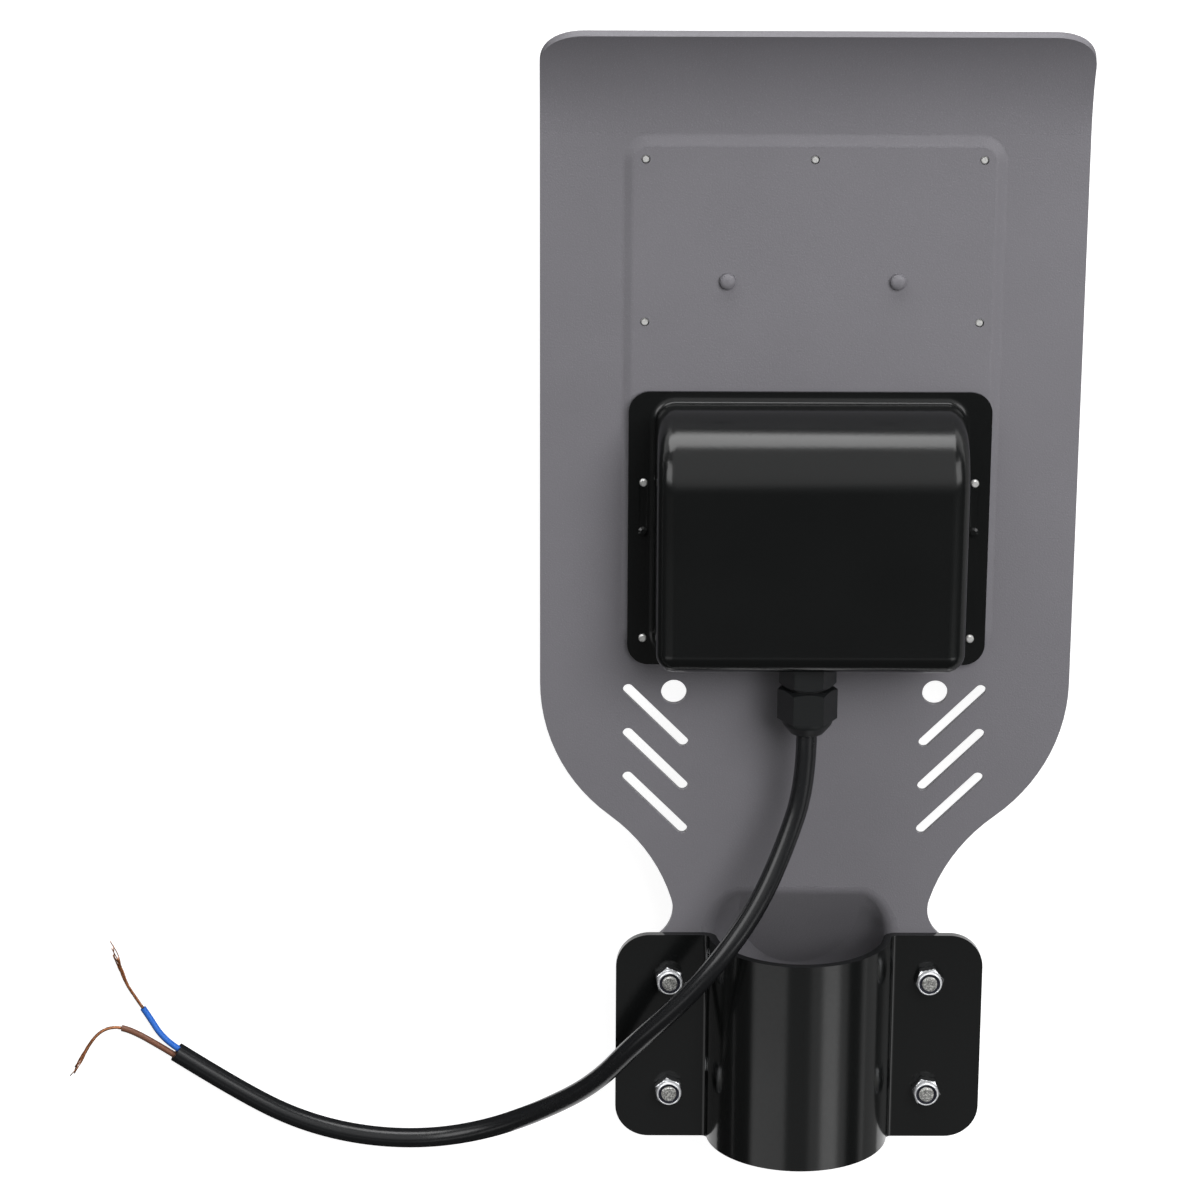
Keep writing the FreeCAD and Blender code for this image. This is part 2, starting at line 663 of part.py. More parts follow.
# Upper half of the clamp: one bent sheet, a half pipe with two ears
def clamp_section(sketch):
    """The clamp seen along the pole."""
    inner = s.pole_radius + s.clamp_slack
    outer = inner + s.clamp_thick
    hidden = s.clamp_bend + s.clamp_thick
    centre_up = hidden
    centre_out = root_of((inner + hidden) * (inner + hidden) - centre_up * centre_up)
    share_in = inner / (inner + hidden)
    share_out = outer / (inner + hidden)
    cx, cy = centre_out.number, centre_up.number
    touch_in = (cx * share_in.number, cy * share_in.number)
    touch_out = (cx * share_out.number, cy * share_out.number)
    ear, thick = s.clamp_half.number, s.clamp_thick.number
    chain = Chain(sketch)
    right = chain.line((cx, 0), (ear, 0))
    hold(sketch, "DistanceY", (right, 1), 0)
    hold(sketch, "DistanceX", (chain.line((ear, 0), (ear, thick)), 1), s.clamp_half)
    hold(sketch, "DistanceY", (chain.line((ear, thick), (cx, thick)), 1), s.clamp_thick)
    hold(sketch, "Radius", (chain.arc((cx, cy), (cx, thick), touch_out, False),), s.clamp_bend)
    roof = chain.arc((0, 0), touch_out, (-touch_out[0], touch_out[1]), True)
    hold(sketch, "Radius", (roof,), outer)
    hold(sketch, "DistanceX", (roof, 3), 0)
    hold(sketch, "DistanceY", (roof, 3), 0)
    hold(sketch, "Radius", (chain.arc((-cx, cy), (-touch_out[0], touch_out[1]), (-cx, thick), False),),
         s.clamp_bend)
    hold(sketch, "DistanceY", (chain.line((-cx, thick), (-ear, thick)), 1), s.clamp_thick)
    hold(sketch, "DistanceX", (chain.line((-ear, thick), (-ear, 0)), 1), -s.clamp_half)
    hold(sketch, "DistanceY", (chain.line((-ear, 0), (-cx, 0)), 1), 0)
    hold(sketch, "Radius", (chain.arc((-cx, cy), (-cx, 0), (-touch_in[0], touch_in[1]), True),), hidden)
    bore = chain.arc((0, 0), (-touch_in[0], touch_in[1]), touch_in, False)
    hold(sketch, "Radius", (bore,), inner)
    hold(sketch, "Radius", (chain.arc((cx, cy), touch_in, (cx, 0), True),), hidden)
    chain.close()
    return sketch


clamp = new_body("clamp")
pad(clamp, clamp_section(sketch_on(clamp, "XZ_Plane")), s.clamp_long, back=True)
rounded(clamp, s.clamp_corner, lambda edge: any(
    lies_at(edge, x=side * s.clamp_half, y=end) for side in (-1, 1) for end in (as_size(0), s.clamp_long)))
pocket(clamp, rings(sketch_on(clamp, "XY_Plane"), bolts, s.bolt_hole), s.clamp_thick, back=True)
node(clamp, "pole_clamp")

# Clamp bolts from below and their self-locking nuts with a nylon ring
nut_under = s.clamp_thick
nut_top = nut_under + s.nut_tall
bolt = new_body("bolt_master")


def hexagon(body, across, level, tall):
    """A hexagonal block whose axis is the body's Z axis."""
    prism = body.newObject("PartDesign::AdditivePrism", body.Name + "_hex")
    plane = [feature for feature in body.Origin.OriginFeatures if feature.Role == "XY_Plane"][0]
    prism.AttachmentSupport = (plane, [""])
    prism.MapMode = "FlatFace"
    prism.Polygon = 6
    bind(prism, Circumradius=across / root_of(as_size(3)), Height=tall)
    prism.setExpression("AttachmentOffset.Base.z", level.text)
    doc.recompute()
    return prism


head_under = plate_under - s.bolt_head_tall
hexagon(bolt, s.nut_across, head_under, s.bolt_head_tall)
end_taper = s.bolt_radius - s.bolt_end
bolt_tip = nut_top + s.sheet_thick / 5
turned(bolt, "Revolution", outline(sketch_on(bolt, "XZ_Plane"), [
    (0, plate_under, 0), (s.bolt_radius, plate_under, 0), (s.bolt_radius, bolt_tip - end_taper * 2, 0),
    (s.bolt_end, bolt_tip, 0), (0, bolt_tip, 0)]), "V_Axis")
head_corner = s.nut_across / root_of(as_size(3))
head_flat = s.nut_across * HEAD_FACE
turned(bolt, "Groove", outline(sketch_on(bolt, "XZ_Plane"), [
    (head_flat, head_under, 0), (head_corner + 1, head_under, 0),
    (head_corner + 1, head_under + (head_corner + 1 - head_flat) / 2, 0)]), "V_Axis")
node(group("bolts", bolt, [(x, y, 0) for x, y in bolts]), "clamp_bolts")

nut = new_body("nut_master")
hex_top = nut_under + s.nut_hex_tall
hexagon(nut, s.nut_across, nut_under, s.nut_hex_tall)
turned(nut, "Groove", outline(sketch_on(nut, "XZ_Plane"), [
    (head_flat, hex_top, 0), (head_corner + 1, hex_top - (head_corner + 1 - head_flat) / 2, 0),
    (head_corner + 1, hex_top, 0)]), "V_Axis")
collar_slant = s.nut_collar / 8
ring_top = nut_top - s.sheet_thick / 10
ring_under = hex_top + s.sheet_thick / 5
nut_bore = s.bolt_radius + s.thread_gap
ring_out = s.nut_collar - s.bolt_radius / 4
turned(nut, "Revolution", outline(sketch_on(nut, "XZ_Plane"), [
    (nut_bore, hex_top, 0), (s.nut_collar, hex_top, 0),
    (s.nut_collar, nut_top - collar_slant, 0), (s.nut_collar - collar_slant, nut_top, 0),
    (s.nut_mouth, nut_top, 0), (s.nut_mouth, ring_top, 0), (ring_out, ring_top, 0),
    (ring_out, ring_under, 0), (nut_bore, ring_under, 0)]), "V_Axis")
pocket(nut, rings(sketch_on(nut, "XY_Plane", nut_under), [(0, 0)], nut_bore), s.nut_hex_tall, back=True)
nut_turns = (40, 39, 10, 51)
turns = {(-1, 1): nut_turns[0], (-1, 0): nut_turns[1], (1, 1): nut_turns[2], (1, 0): nut_turns[3]}
nut_places = [(side * s.bolt_half, (s.bolt_low, s.bolt_high)[row], turns[(side, row)])
              for side in (-1, 1) for row in (0, 1)]
node(group("nuts", nut, nut_places), "clamp_nuts")

insert = new_body("insert_master")
turned(insert, "Revolution", outline(sketch_on(insert, "XZ_Plane"), [
    (nut_bore, ring_under, 0), (ring_out, ring_under, 0), (ring_out, ring_top, 0),
    (nut_bore, ring_top, 0)]), "V_Axis")
node(group("inserts", insert, nut_places), "nut_inserts")

# Driver cover: a deep drawn box with a flange all round
cover = new_body("cover")
pad(cover, field(sketch_on(cover, "XY_Plane", flange_under), flange_half, flange_low,
                 flange_high, s.flange_corner), s.cover_thick)


def box_section(sketch, inset):
    """The box seen from the side, with a large round at the front and a small one behind."""
    low, high, top = s.box_low + inset, s.box_high - inset, s.box_top - inset
    return outline(sketch, [(low, flange_under, 0), (high, flange_under, 0),
                            (high, top, s.box_front_round - inset), (low, top, s.box_back_round - inset)])


def side_edges(half):
    """The edges round each side wall of the box, apart from the one along its open foot."""
    def test(edge):
        side = any(lies_at(edge, x=sign * half) for sign in (-1, 1))
        return side and edge.BoundBox.ZMax > flange_top.number + NEAR
    return test


pad(cover, box_section(sketch_on(cover, "YZ_Plane"), as_size(0)), box_half * 2, both=True)
rounded(cover, s.box_side_round, side_edges(box_half))


def foot_edge(edge):
    """The edge where the box meets the flange, on its upper face."""
    box = edge.BoundBox
    inside = box.YMin > flange_low.number + 1 and box.YMax < flange_high.number - 1
    return lies_at(edge, z=flange_top) and inside and abs(box.XMax) < flange_half.number - 1


rounded(cover, s.box_foot, foot_edge)
pocket(cover, rings(sketch_on(cover, "XY_Plane", flange_under), cover_screws, s.screw_hole),
       s.cover_thick, back=True)
pocket(cover, rings(sketch_on(cover, "XY_Plane", flange_under), rivets, rivet_hole), s.cover_thick,
       back=True)
wall_reach = s.box_low + 2 * s.cover_thick
gland_bore = s.gland_thread + s.cable_gap
pocket(cover, rings(sketch_on(cover, "XZ_Plane", -wall_reach), [(0, s.gland_tall)], gland_bore),
       4 * s.cover_thick, back=True)

# The space inside the box, a sheet's thickness smaller all round
hollow = new_body("cover_hollow")
inner_half = box_half - s.cover_thick
pad(hollow, box_section(sketch_on(hollow, "YZ_Plane"), s.cover_thick), inner_half * 2, both=True)
rounded(hollow, s.box_side_round - s.cover_thick, side_edges(inner_half))
node(boolean("Cut", "cover_drawn", cover, hollow), "driver_cover")

# Gasket between the cover and the plate
seal = new_body("seal")
pad(seal, field(sketch_on(seal, "XY_Plane", s.field_rise), flange_half - s.seal_edge,
                s.field_low + s.seal_back, flange_high - s.seal_edge, s.seal_corner), s.seal_thick)
pocket(seal, field(sketch_on(seal, "XY_Plane", s.field_rise), box_half - s.seal_lip,
                   s.box_low + s.seal_lip, s.box_high - s.seal_lip_front, s.seal_inner_corner),
       s.seal_thick, back=True)
pocket(seal, rings(sketch_on(seal, "XY_Plane", s.field_rise), cover_screws, s.screw_hole),
       s.seal_thick, back=True)
pocket(seal, rings(sketch_on(seal, "XY_Plane", s.field_rise), rivets, rivet_hole), s.seal_thick, back=True)
node(seal, "cover_gasket")

# Rivets at the middle of the cover's sides
rivet = new_body("rivet_master")
rivet_top = flange_top + s.rivet_tall
turned(rivet, "Revolution", outline(sketch_on(rivet, "XZ_Plane"), [
    (0, field_under, 0), (s.rivet_shank, field_under, 0), (s.rivet_shank, flange_top, 0),
    (s.rivet_head, flange_top, 0), (s.rivet_head, rivet_top - s.rivet_tall / 2, 0),
    (s.rivet_head - s.rivet_tall, rivet_top, 0), (0, rivet_top, 0)]),
    "V_Axis")
node(group("rivets", rivet, [(x, y, 0) for x, y in rivets]), "cover_rivets")

# Cable gland through the cover's rear wall, all turned about the cable's axis
def across_block(body, across, start, long):
    """A hexagonal block along the cable, with one flat up."""
    prism = body.newObject("PartDesign::AdditivePrism", body.Name + "_hex")
    plane = [feature for feature in body.Origin.OriginFeatures if feature.Role == "XZ_Plane"][0]
    prism.AttachmentSupport = (plane, [""])
    prism.MapMode = "FlatFace"
    prism.Polygon = 6
    bind(prism, Circumradius=across / root_of(as_size(3)), Height=long)
    prism.setExpression("AttachmentOffset.Base.z", (-start).text)
    prism.setExpression("AttachmentOffset.Base.y", s.gland_tall.text)
    doc.recompute()
    return prism


def bevel(body, across, end, inward):
    """Bevel the corners of a hexagonal block at one end."""
    corner = across / root_of(as_size(3)) + 1
    flat = across * BLOCK_FACE
    slant = inward * (corner - flat) / 2
    turned(body, "Groove", outline(sketch_on(body, "YZ_Plane", height=s.gland_tall), [
        (end, flat, 0), (end + slant, corner, 0), (end, corner, 0)]), "H_Axis")


cable_bore = s.cable_radius + s.cable_gap
flange_end = s.box_low - s.gland_flange
neck_end = flange_end - s.gland_neck
thread_end = cap_low + 1.5 * s.gland_neck
inside_end = s.box_low + s.gland_inside
seat_start = neck_end - s.gland_neck

gland = new_body("gland")
across_block(gland, s.gland_across, s.box_low, s.gland_flange)
bevel(gland, s.gland_across, flange_end, 1)
turned(gland, "Revolution", outline(sketch_on(gland, "YZ_Plane", height=s.gland_tall), [
    (thread_end, s.gland_seat, 0), (seat_start, s.gland_seat, 0), (seat_start, cable_bore, 0),
    (inside_end, cable_bore, 0), (inside_end, s.gland_thread, 0), (thread_end, s.gland_thread, 0)]),
    "H_Axis")
turned(gland, "Groove", outline(sketch_on(gland, "YZ_Plane", height=s.gland_tall), [
    (thread_end, 0, 0), (inside_end, 0, 0), (inside_end, cable_bore, 0), (thread_end, cable_bore, 0)]),
    "H_Axis")
node(gland, "gland_body")

locknut = new_body("locknut")
lock_start = s.box_low + s.cover_thick
lock_end = lock_start + s.locknut_thick
across_block(locknut, s.locknut_across, lock_end, s.locknut_thick)
bevel(locknut, s.locknut_across, lock_end, -1)
thread_bore = s.gland_thread + s.thread_gap
turned(locknut, "Groove", outline(sketch_on(locknut, "YZ_Plane", height=s.gland_tall), [
    (lock_start - 1, 0, 0), (lock_end + 1, 0, 0), (lock_end + 1, thread_bore, 0),
    (lock_start - 1, thread_bore, 0)]), "H_Axis")
node(locknut, "gland_locknut")

sleeve = new_body("sleeve")
cap_floor = cap_low + s.gland_neck / 2
turned(sleeve, "Revolution", outline(sketch_on(sleeve, "YZ_Plane", height=s.gland_tall), [
    (cap_floor, cable_bore, 0), (seat_start, cable_bore, 0),
    (seat_start, s.gland_seat - s.thread_gap, 0), (cap_floor, s.gland_seat - s.thread_gap, 0)]), "H_Axis")
node(sleeve, "gland_seal")

cap = new_body("cap")
cap_high = cap_low + s.cap_hex
across_block(cap, s.cap_across, cap_high, s.cap_hex)
bevel(cap, s.cap_across, cap_high, -1)
cap_shoulder = s.cap_across / 2 - s.cable_gap * 2
cap_brow = cap_shoulder - s.cable_gap * 2
cap_round = s.cap_dome * 0.9
turned(cap, "Revolution", outline(sketch_on(cap, "YZ_Plane", height=s.gland_tall), [
    (cap_end, cable_bore, 0), (cap_high, cable_bore, 0), (cap_high, cap_shoulder, 0),
    (cap_low, cap_shoulder, 0), (cap_low - s.cap_dome * 0.3, cap_brow, cap_round / 2),
    (cap_end, s.cap_nose, cap_round / 6)]), "H_Axis")
turned(cap, "Groove", outline(sketch_on(cap, "YZ_Plane", height=s.gland_tall), [
    (cap_floor, 0, 0), (cap_high + 1, 0, 0), (cap_high + 1, thread_bore, 0), (cap_floor, thread_bore, 0)]),
    "H_Axis")
turned(cap, "Groove", outline(sketch_on(cap, "YZ_Plane", height=s.gland_tall), [
    (cap_end - 1, 0, 0), (cap_floor + 1, 0, 0), (cap_floor + 1, cable_bore, 0),
    (cap_end - 1, cable_bore, 0)]), "H_Axis")
node(cap, "gland_cap")

# Driver: a sealed block on the raised field
driver = new_body("driver")
driver_top = s.field_rise + s.driver_tall
driver_low = s.box_low + s.driver_back
pad(driver, field(sketch_on(driver, "XY_Plane", s.field_rise), box_half - s.driver_side, driver_low,
                  driver_high, s.driver_edge), s.driver_tall)
rounded(driver, s.driver_edge, lambda edge: lies_at(edge, z=driver_top))
node(driver, "led_driver")


# Cables and leads: straight runs joined by arcs that are tangent to both
def bent_path(points, share, radius=None):
    """A wire through a route, each corner an arc as large as its two runs allow."""
    corners = []
    radii = []
    for before, corner, after in zip(points, points[1:], points[2:]):
        into, away = corner - before, after - corner
        shorter = min(into.Length, away.Length)
        half_turn = into.getAngle(away) / 2
        bend = share * shorter / math.tan(half_turn)
        bend = bend if radius is None else min(bend, radius)
        trim = bend * math.tan(half_turn)
        into.normalize()
        away.normalize()
        start, end = corner - into * trim, corner + away * trim
        toward = away - into
        toward.normalize()
        middle = corner + toward * (bend / math.cos(half_turn) - bend)
        corners.append((start, middle, end))
        radii.append(bend)
    edges = []
    here = points[0]
    for start, middle, end in corners:
        edges.append(Part.LineSegment(here, start).toShape())
        edges.append(Part.Arc(start, middle, end).toShape())
        here = end
    edges.append(Part.LineSegment(here, points[-1]).toShape())
    return Part.Wire(edges), radii


def tube(label, points, radius, share=0.45, bend=None):
    """A round tube along a route."""
    path, radii = bent_path([V(*point) for point in points], share, bend)
    way = V(*points[1]) - V(*points[0])
    ring = Part.Wire([Part.Circle(V(*points[0]), way, radius).toShape()])
    shape = path.makePipeShell([ring], True, False)
    thing = doc.addObject("Part::Feature", label)
    thing.Shape = shape
    expected = math.pi * radius ** 2 * path.Length
    print(f"{label}: length {path.Length:.1f}, smallest bend {min(radii, default=0):.1f}, "
          f"volume {shape.Volume:.0f} of {expected:.0f}")
    print(f"{label} bends:", [round(value, 1) for value in radii])
    return node(thing, label)


gland_z = s.gland_tall.number
straight = Part.makeCylinder(s.cable_radius.number, (driver_low - cap_end).number,
                             V(0, cap_end.number, gland_z), ALONG)
supply = doc.addObject("Part::Feature", "supply")
supply.Shape = straight
node(supply, "supply_lead")

board_top = field_under.number
for label, side in (("led_lead_red", 1), ("led_lead_black", -1)):
    x = side * s.lead_half.number
    lead_z = board_top + s.lead_tall.number
    tube(label, [(x, driver_high.number, lead_z), (x, lead_drop.number, lead_z),
                 (x, lead_drop.number, board_top)], s.lead_radius.number, bend=s.lead_bend.number)

# Supply cable: out of the gland, round the shoulder of the clamp, over its left ear and down to
# the surface that the head lies on
rest = -(s.pole_radius + s.sheet_thick).number
cable_z = rest + s.cable_radius.number
CABLE_ROUTE = [
    (0.0, cap_end.number, gland_z),
    (0.0, 152.0, gland_z),
    (-7.5, 128.2, 23.0),
    (-17.5, 106.1, 28.5),
    (-31.5, 86.0, 32.5),
    (-46.7, 66.4, 29.0),
    (-63.4, 46.6, 20.5),
    (-78.3, 23.7, 6.5),
    (-98.1, 4.7, -11.0),
    (-121.3, -10.7, -25.0),
    (-146.4, -17.4, cable_z),
    (-172.5, -15.9, cable_z),
    (-197.5, -8.9, cable_z),
    (-221.1, 4.1, cable_z),
    (-244.8, 20.2, cable_z),
]
tube("power_cable", CABLE_ROUTE, s.cable_radius.number)

# The two cores, stripped to bare strands at their ends
core_z = rest + s.cable_radius.number
jacket_end = V(*CABLE_ROUTE[-1])
jacket_way = (jacket_end - V(*CABLE_ROUTE[-2])).normalize()
aside = V(-jacket_way.y, jacket_way.x, 0) * (s.core_radius.number * 1.25)
low_z = rest + s.core_radius.number
strand_z = rest + s.strand_radius.number


def from_jacket(side, ahead, z):
    """A point beside the middle line, some way beyond the end of the jacket."""
    point = jacket_end + aside * side + jacket_way * ahead
    return (point.x, point.y, z)


def run_on(route, ahead):
    """A point straight beyond the end of a route."""
    end, before = V(*route[-1]), V(*route[-2])
    point = end + (end - before).normalize() * ahead
    return (point.x, point.y, point.z)


blue = [from_jacket(-1, 0, core_z), from_jacket(-1, 7, core_z), (-256.0, 35.0, low_z),
        (-257.8, 37.8, low_z)]
brown = [from_jacket(1, 0, core_z), from_jacket(1, 7, core_z), (-263.0, 28.5, low_z),
         (-266.6, 29.2, low_z)]
CORE_BENDS = 0.45
tube("blue_core", blue, s.core_radius.number, CORE_BENDS)
tube("brown_core", brown, s.core_radius.number, CORE_BENDS)
tube("blue_strands", [blue[-1], run_on(blue, 6.0), (-265.5, 50.5, strand_z), (-269.5, 66.0, strand_z)],
     s.strand_radius.number)
tube("brown_strands", [brown[-1], run_on(brown, 6.0), (-281.0, 21.0, strand_z), (-287.5, 7.0, strand_z)],
     s.strand_radius.number)

# Lamp board with its chips, under the raised field
board = new_body("board")
pad(board, field(sketch_on(board, "XY_Plane", board_under), board_half, board_low, board_high,
                 s.seal_inner_corner), s.board_thick)
pocket(board, rings(sketch_on(board, "XY_Plane", board_under), boss_places, s.screw_hole),
       s.board_thick, back=True)
node(board, "led_board")

chip = new_body("chip_master")
half_chip = s.chip_wide / 2
chip_under = board_under - s.chip_thick
pad(chip, outline(sketch_on(chip, "XY_Plane", chip_under), [
    (-half_chip, -half_chip, 0), (half_chip, -half_chip, 0), (half_chip, half_chip, 0),
    (-half_chip, half_chip, 0)]), s.chip_thick)
columns = int(s.chip_columns.number)
chip_rows = int(s.chip_rows.number)
chip_middle = (board_low + board_high) / 2
chip_places = [((column - (columns - 1) / 2) * s.chip_pitch_x,
                chip_middle + (step - (chip_rows - 1) / 2) * s.chip_pitch_y)
               for step in range(chip_rows) for column in range(columns)]
node(group("chips", chip, [(x, y, 0) for x, y in chip_places]), "led_chips")

small_screw = new_body("small_screw_master")
board_head = s.screw_head * 0.8
board_head_under = board_under - s.screw_head_tall * 0.7
board_screw_tip = s.field_rise + s.boss_tall / 4
head_slant = s.screw_head_tall / 3
turned(small_screw, "Revolution", outline(sketch_on(small_screw, "XZ_Plane"), [
    (0, board_head_under, 0), (board_head - head_slant, board_head_under, 0),
    (board_head, board_head_under + head_slant, 0), (board_head, board_under, 0),
    (s.screw_radius, board_under, 0), (s.screw_radius, board_screw_tip, 0),
    (0, board_screw_tip, 0)]), "V_Axis")
node(group("small_screws", small_screw, [(x, y, 0) for x, y in boss_places]), "board_screws")

# Lens gasket and lens panel
washer = new_body("washer")
pad(washer, field(sketch_on(washer, "XY_Plane", lens_top), lens_half, lens_low, lens_high,
                  s.lens_corner), s.field_rise)
pocket(washer, field(sketch_on(washer, "XY_Plane", lens_top), rim_inner, inner_low, inner_high,
                     s.seal_inner_corner), s.field_rise, back=True)
pocket(washer, rings(sketch_on(washer, "XY_Plane", lens_top), cover_screws + panel_screws, s.screw_hole),
       s.field_rise, back=True)
node(washer, "lens_gasket")

lens = new_body("lens")
pad(lens, field(sketch_on(lens, "XY_Plane", lens_under), lens_half, lens_low, lens_high,
                s.lens_corner), s.lens_thick)
pocket(lens, field(sketch_on(lens, "XY_Plane", lens_top), rim_inner, inner_low, inner_high,
                   s.seal_inner_corner), s.lens_hollow)
pocket(lens, rings(sketch_on(lens, "XY_Plane", lens_under), cover_screws + panel_screws, s.screw_hole),
       s.lens_thick, back=True)
domes = rings(sketch_on(lens, "XY_Plane", lens_under), chip_places, s.dome_radius)
pad(lens, domes, s.dome_tall, back=True)
dome_under = lens_under - s.dome_tall
dressed(lens, "Chamfer", lambda edge: lies_at(edge, z=dome_under), Size=s.dome_slant)
node(lens, "lens_panel")


# Screws that clamp the lens, and four of them the cover too
def screw_master(name, tip):
    """A pan head screw, driven from below."""
    body = new_body(name)
    under = lens_under - s.screw_head_tall
    turned(body, "Revolution", outline(sketch_on(body, "XZ_Plane"), [
        (0, under, 0), (s.screw_head - head_slant * 2, under, 0), (s.screw_head, under + head_slant, 0),
        (s.screw_head, lens_under, 0),
        (s.screw_radius, lens_under, 0), (s.screw_radius, tip - s.screw_radius / 3, 0),
        (s.screw_radius * 2 / 3, tip, 0), (0, tip, 0)]), "V_Axis")
    return body


short_screw = screw_master("short_screw_master", s.field_rise - s.screw_short)
long_screw = screw_master("long_screw_master", flange_top + s.screw_proud)
node(group("short_screws", short_screw, [(x, y, 0) for x, y in panel_screws]), "panel_screws")
node(group("long_screws", long_screw, [(x, y, 0) for x, y in cover_screws]), "cover_screws")

# Check every object, then write one file for each node
doc.recompute()
for thing in doc.Objects:
    if "Invalid" in thing.State or "Error" in thing.State:
        raise ValueError(f"{thing.Name} did not build: {thing.State}")
for thing in nodes:
    if thing.Shape.isNull() or not thing.Shape.isValid():
        raise ValueError(f"{thing.Label} has no valid shape")
os.makedirs("parts", exist_ok=True)
for thing in nodes:
    thing.Shape.exportStep(f"parts/{thing.Label}.step")
    print(f"{thing.Label}: {len(thing.Shape.Solids)} solids, {thing.Shape.Volume:.0f} mm3")
print(len(nodes), "nodes")
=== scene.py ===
# %% [markdown]
# # Head of an LED street light
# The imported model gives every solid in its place. This lesson adds the finishes, the supply cable
# as a soft curve, and the small parts that a close look wants: threads, recesses, round lenses and
# twisted copper. Lengths are in metres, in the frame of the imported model: Y runs from the clamp to
# the curled tip, and Z points to the sky side, where the driver's cover sits.

# %% Load the frame
import math
import random

import bmesh
import bpy
from mathutils import Matrix, Vector


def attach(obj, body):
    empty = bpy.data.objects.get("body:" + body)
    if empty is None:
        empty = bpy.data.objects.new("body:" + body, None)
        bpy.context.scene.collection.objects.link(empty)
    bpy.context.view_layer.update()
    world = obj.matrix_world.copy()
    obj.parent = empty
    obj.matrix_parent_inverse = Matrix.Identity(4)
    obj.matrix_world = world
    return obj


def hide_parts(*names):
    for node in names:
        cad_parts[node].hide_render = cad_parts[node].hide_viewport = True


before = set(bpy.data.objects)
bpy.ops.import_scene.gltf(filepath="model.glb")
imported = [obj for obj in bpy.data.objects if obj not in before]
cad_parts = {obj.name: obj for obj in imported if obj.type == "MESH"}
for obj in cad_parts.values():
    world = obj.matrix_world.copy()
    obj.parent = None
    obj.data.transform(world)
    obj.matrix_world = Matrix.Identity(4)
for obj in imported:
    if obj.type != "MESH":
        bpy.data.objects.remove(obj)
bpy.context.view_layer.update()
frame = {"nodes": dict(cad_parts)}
MM = 0.001
BODY = "root"
nodes = frame["nodes"]

# %% [markdown]
# ## Camera
# The photograph looks down on the sky side from a little beyond the tip. Its place was solved from
# the straight edges and the holes of the plate, so the camera is put there as numbers: a long lens,
# pitched about 17 degrees off the vertical.

# %% Camera
FLOOR_Z = -34.5 * MM
LENS = 120.0
SENSOR = 36.0
CAMERA_AT = Vector((-84.2, 663.63, 1434.07)) * MM
CAMERA_AXES = Matrix(((0.99998571, 0.00410641, 0.00342429),
                      (-0.00290563, 0.95497235, -0.29668059),
                      (-0.0044884, 0.2966664, 0.95497063)))

camera = bpy.data.objects.new("camera", bpy.data.cameras.new("camera"))
bpy.context.collection.objects.link(camera)
camera.data.lens = LENS
camera.data.sensor_width = SENSOR
camera.matrix_world = Matrix.Translation(CAMERA_AT) @ CAMERA_AXES.transposed().to_4x4()
bpy.context.scene.camera = camera
print("camera at", tuple(camera.location))

# %% [markdown]
# ## Supply cable
# The cable leaves the gland, goes round the shoulder of the clamp, climbs over its left ear and
# falls to the surface. A NURBS curve through a few free points gives it one smooth line, the way a
# stiff rubber cable lies. Its own weight keeps the rest of it on the surface.

# %% Cable and its two cores
CABLE_WIDE = 7.8
CORE_WIDE = 2.5
STRAND_ROOM = 1.4
CABLE_LEVEL = -34.5 + CABLE_WIDE / 2
CORE_LEVEL = -34.5 + CORE_WIDE / 2
STRAND_LEVEL = -34.5 + STRAND_ROOM / 2
CABLE_ROUTE = [
    (0, 172.9, 20), (0, 152, 20), (-7.5, 128.2, 23), (-17.5, 106.1, 28.5), (-31.5, 86, 32.5),
    (-46.7, 66.4, 29), (-63.4, 46.6, 20.5), (-78.3, 23.7, 6.5), (-98.1, 4.7, -11),
    (-121.3, -10.7, -25), (-146.4, -17.4, CABLE_LEVEL), (-172.5, -15.9, CABLE_LEVEL),
    (-197.5, -8.9, CABLE_LEVEL), (-221.1, 4.1, CABLE_LEVEL), (-244.8, 20.2, CABLE_LEVEL)]


def new_object(name, data):
    """An object that holds the data, at the origin."""
    thing = bpy.data.objects.new(name, data)
    bpy.context.collection.objects.link(thing)
    return thing


def round_curve(name, points, wide, smooth=14):
    """A round cable on one open NURBS spline; the points are in millimetres."""
    data = bpy.data.curves.new(name, "CURVE")
    data.dimensions = "3D"
    spline = data.splines.new("NURBS")
    spline.points.add(len(points) - 1)
    for place, point in zip(spline.points, points):
        place.co = (*(Vector(point) * MM), 1)
    spline.order_u = 3
    spline.use_endpoint_u = True
    data.resolution_u = smooth
    data.bevel_depth = wide / 2 * MM
    data.bevel_resolution = 10
    data.use_fill_caps = True
    return new_object(name, data)


jacket_end = Vector(CABLE_ROUTE[-1])
jacket_way = (jacket_end - Vector(CABLE_ROUTE[-2])).normalized()
aside = Vector((-jacket_way.y, jacket_way.x, 0)) * (CORE_WIDE / 2 * 1.25)


def from_jacket(side, ahead):
    """A point beside the cable's middle line, some way past the end of its jacket."""
    return tuple(jacket_end + aside * side + jacket_way * ahead)


BLUE_ROUTE = [from_jacket(-1, 0), from_jacket(-1, 7), (-256, 35, CORE_LEVEL),
              (-257.8, 37.8, CORE_LEVEL)]
BROWN_ROUTE = [from_jacket(1, 0), from_jacket(1, 7), (-263, 28.5, CORE_LEVEL),
               (-266.6, 29.2, CORE_LEVEL)]
cable = round_curve("supply_cable", CABLE_ROUTE, CABLE_WIDE)
blue_core = round_curve("blue_wire", BLUE_ROUTE, CORE_WIDE)
brown_core = round_curve("brown_wire", BROWN_ROUTE, CORE_WIDE)
print("cable control points:", len(CABLE_ROUTE))

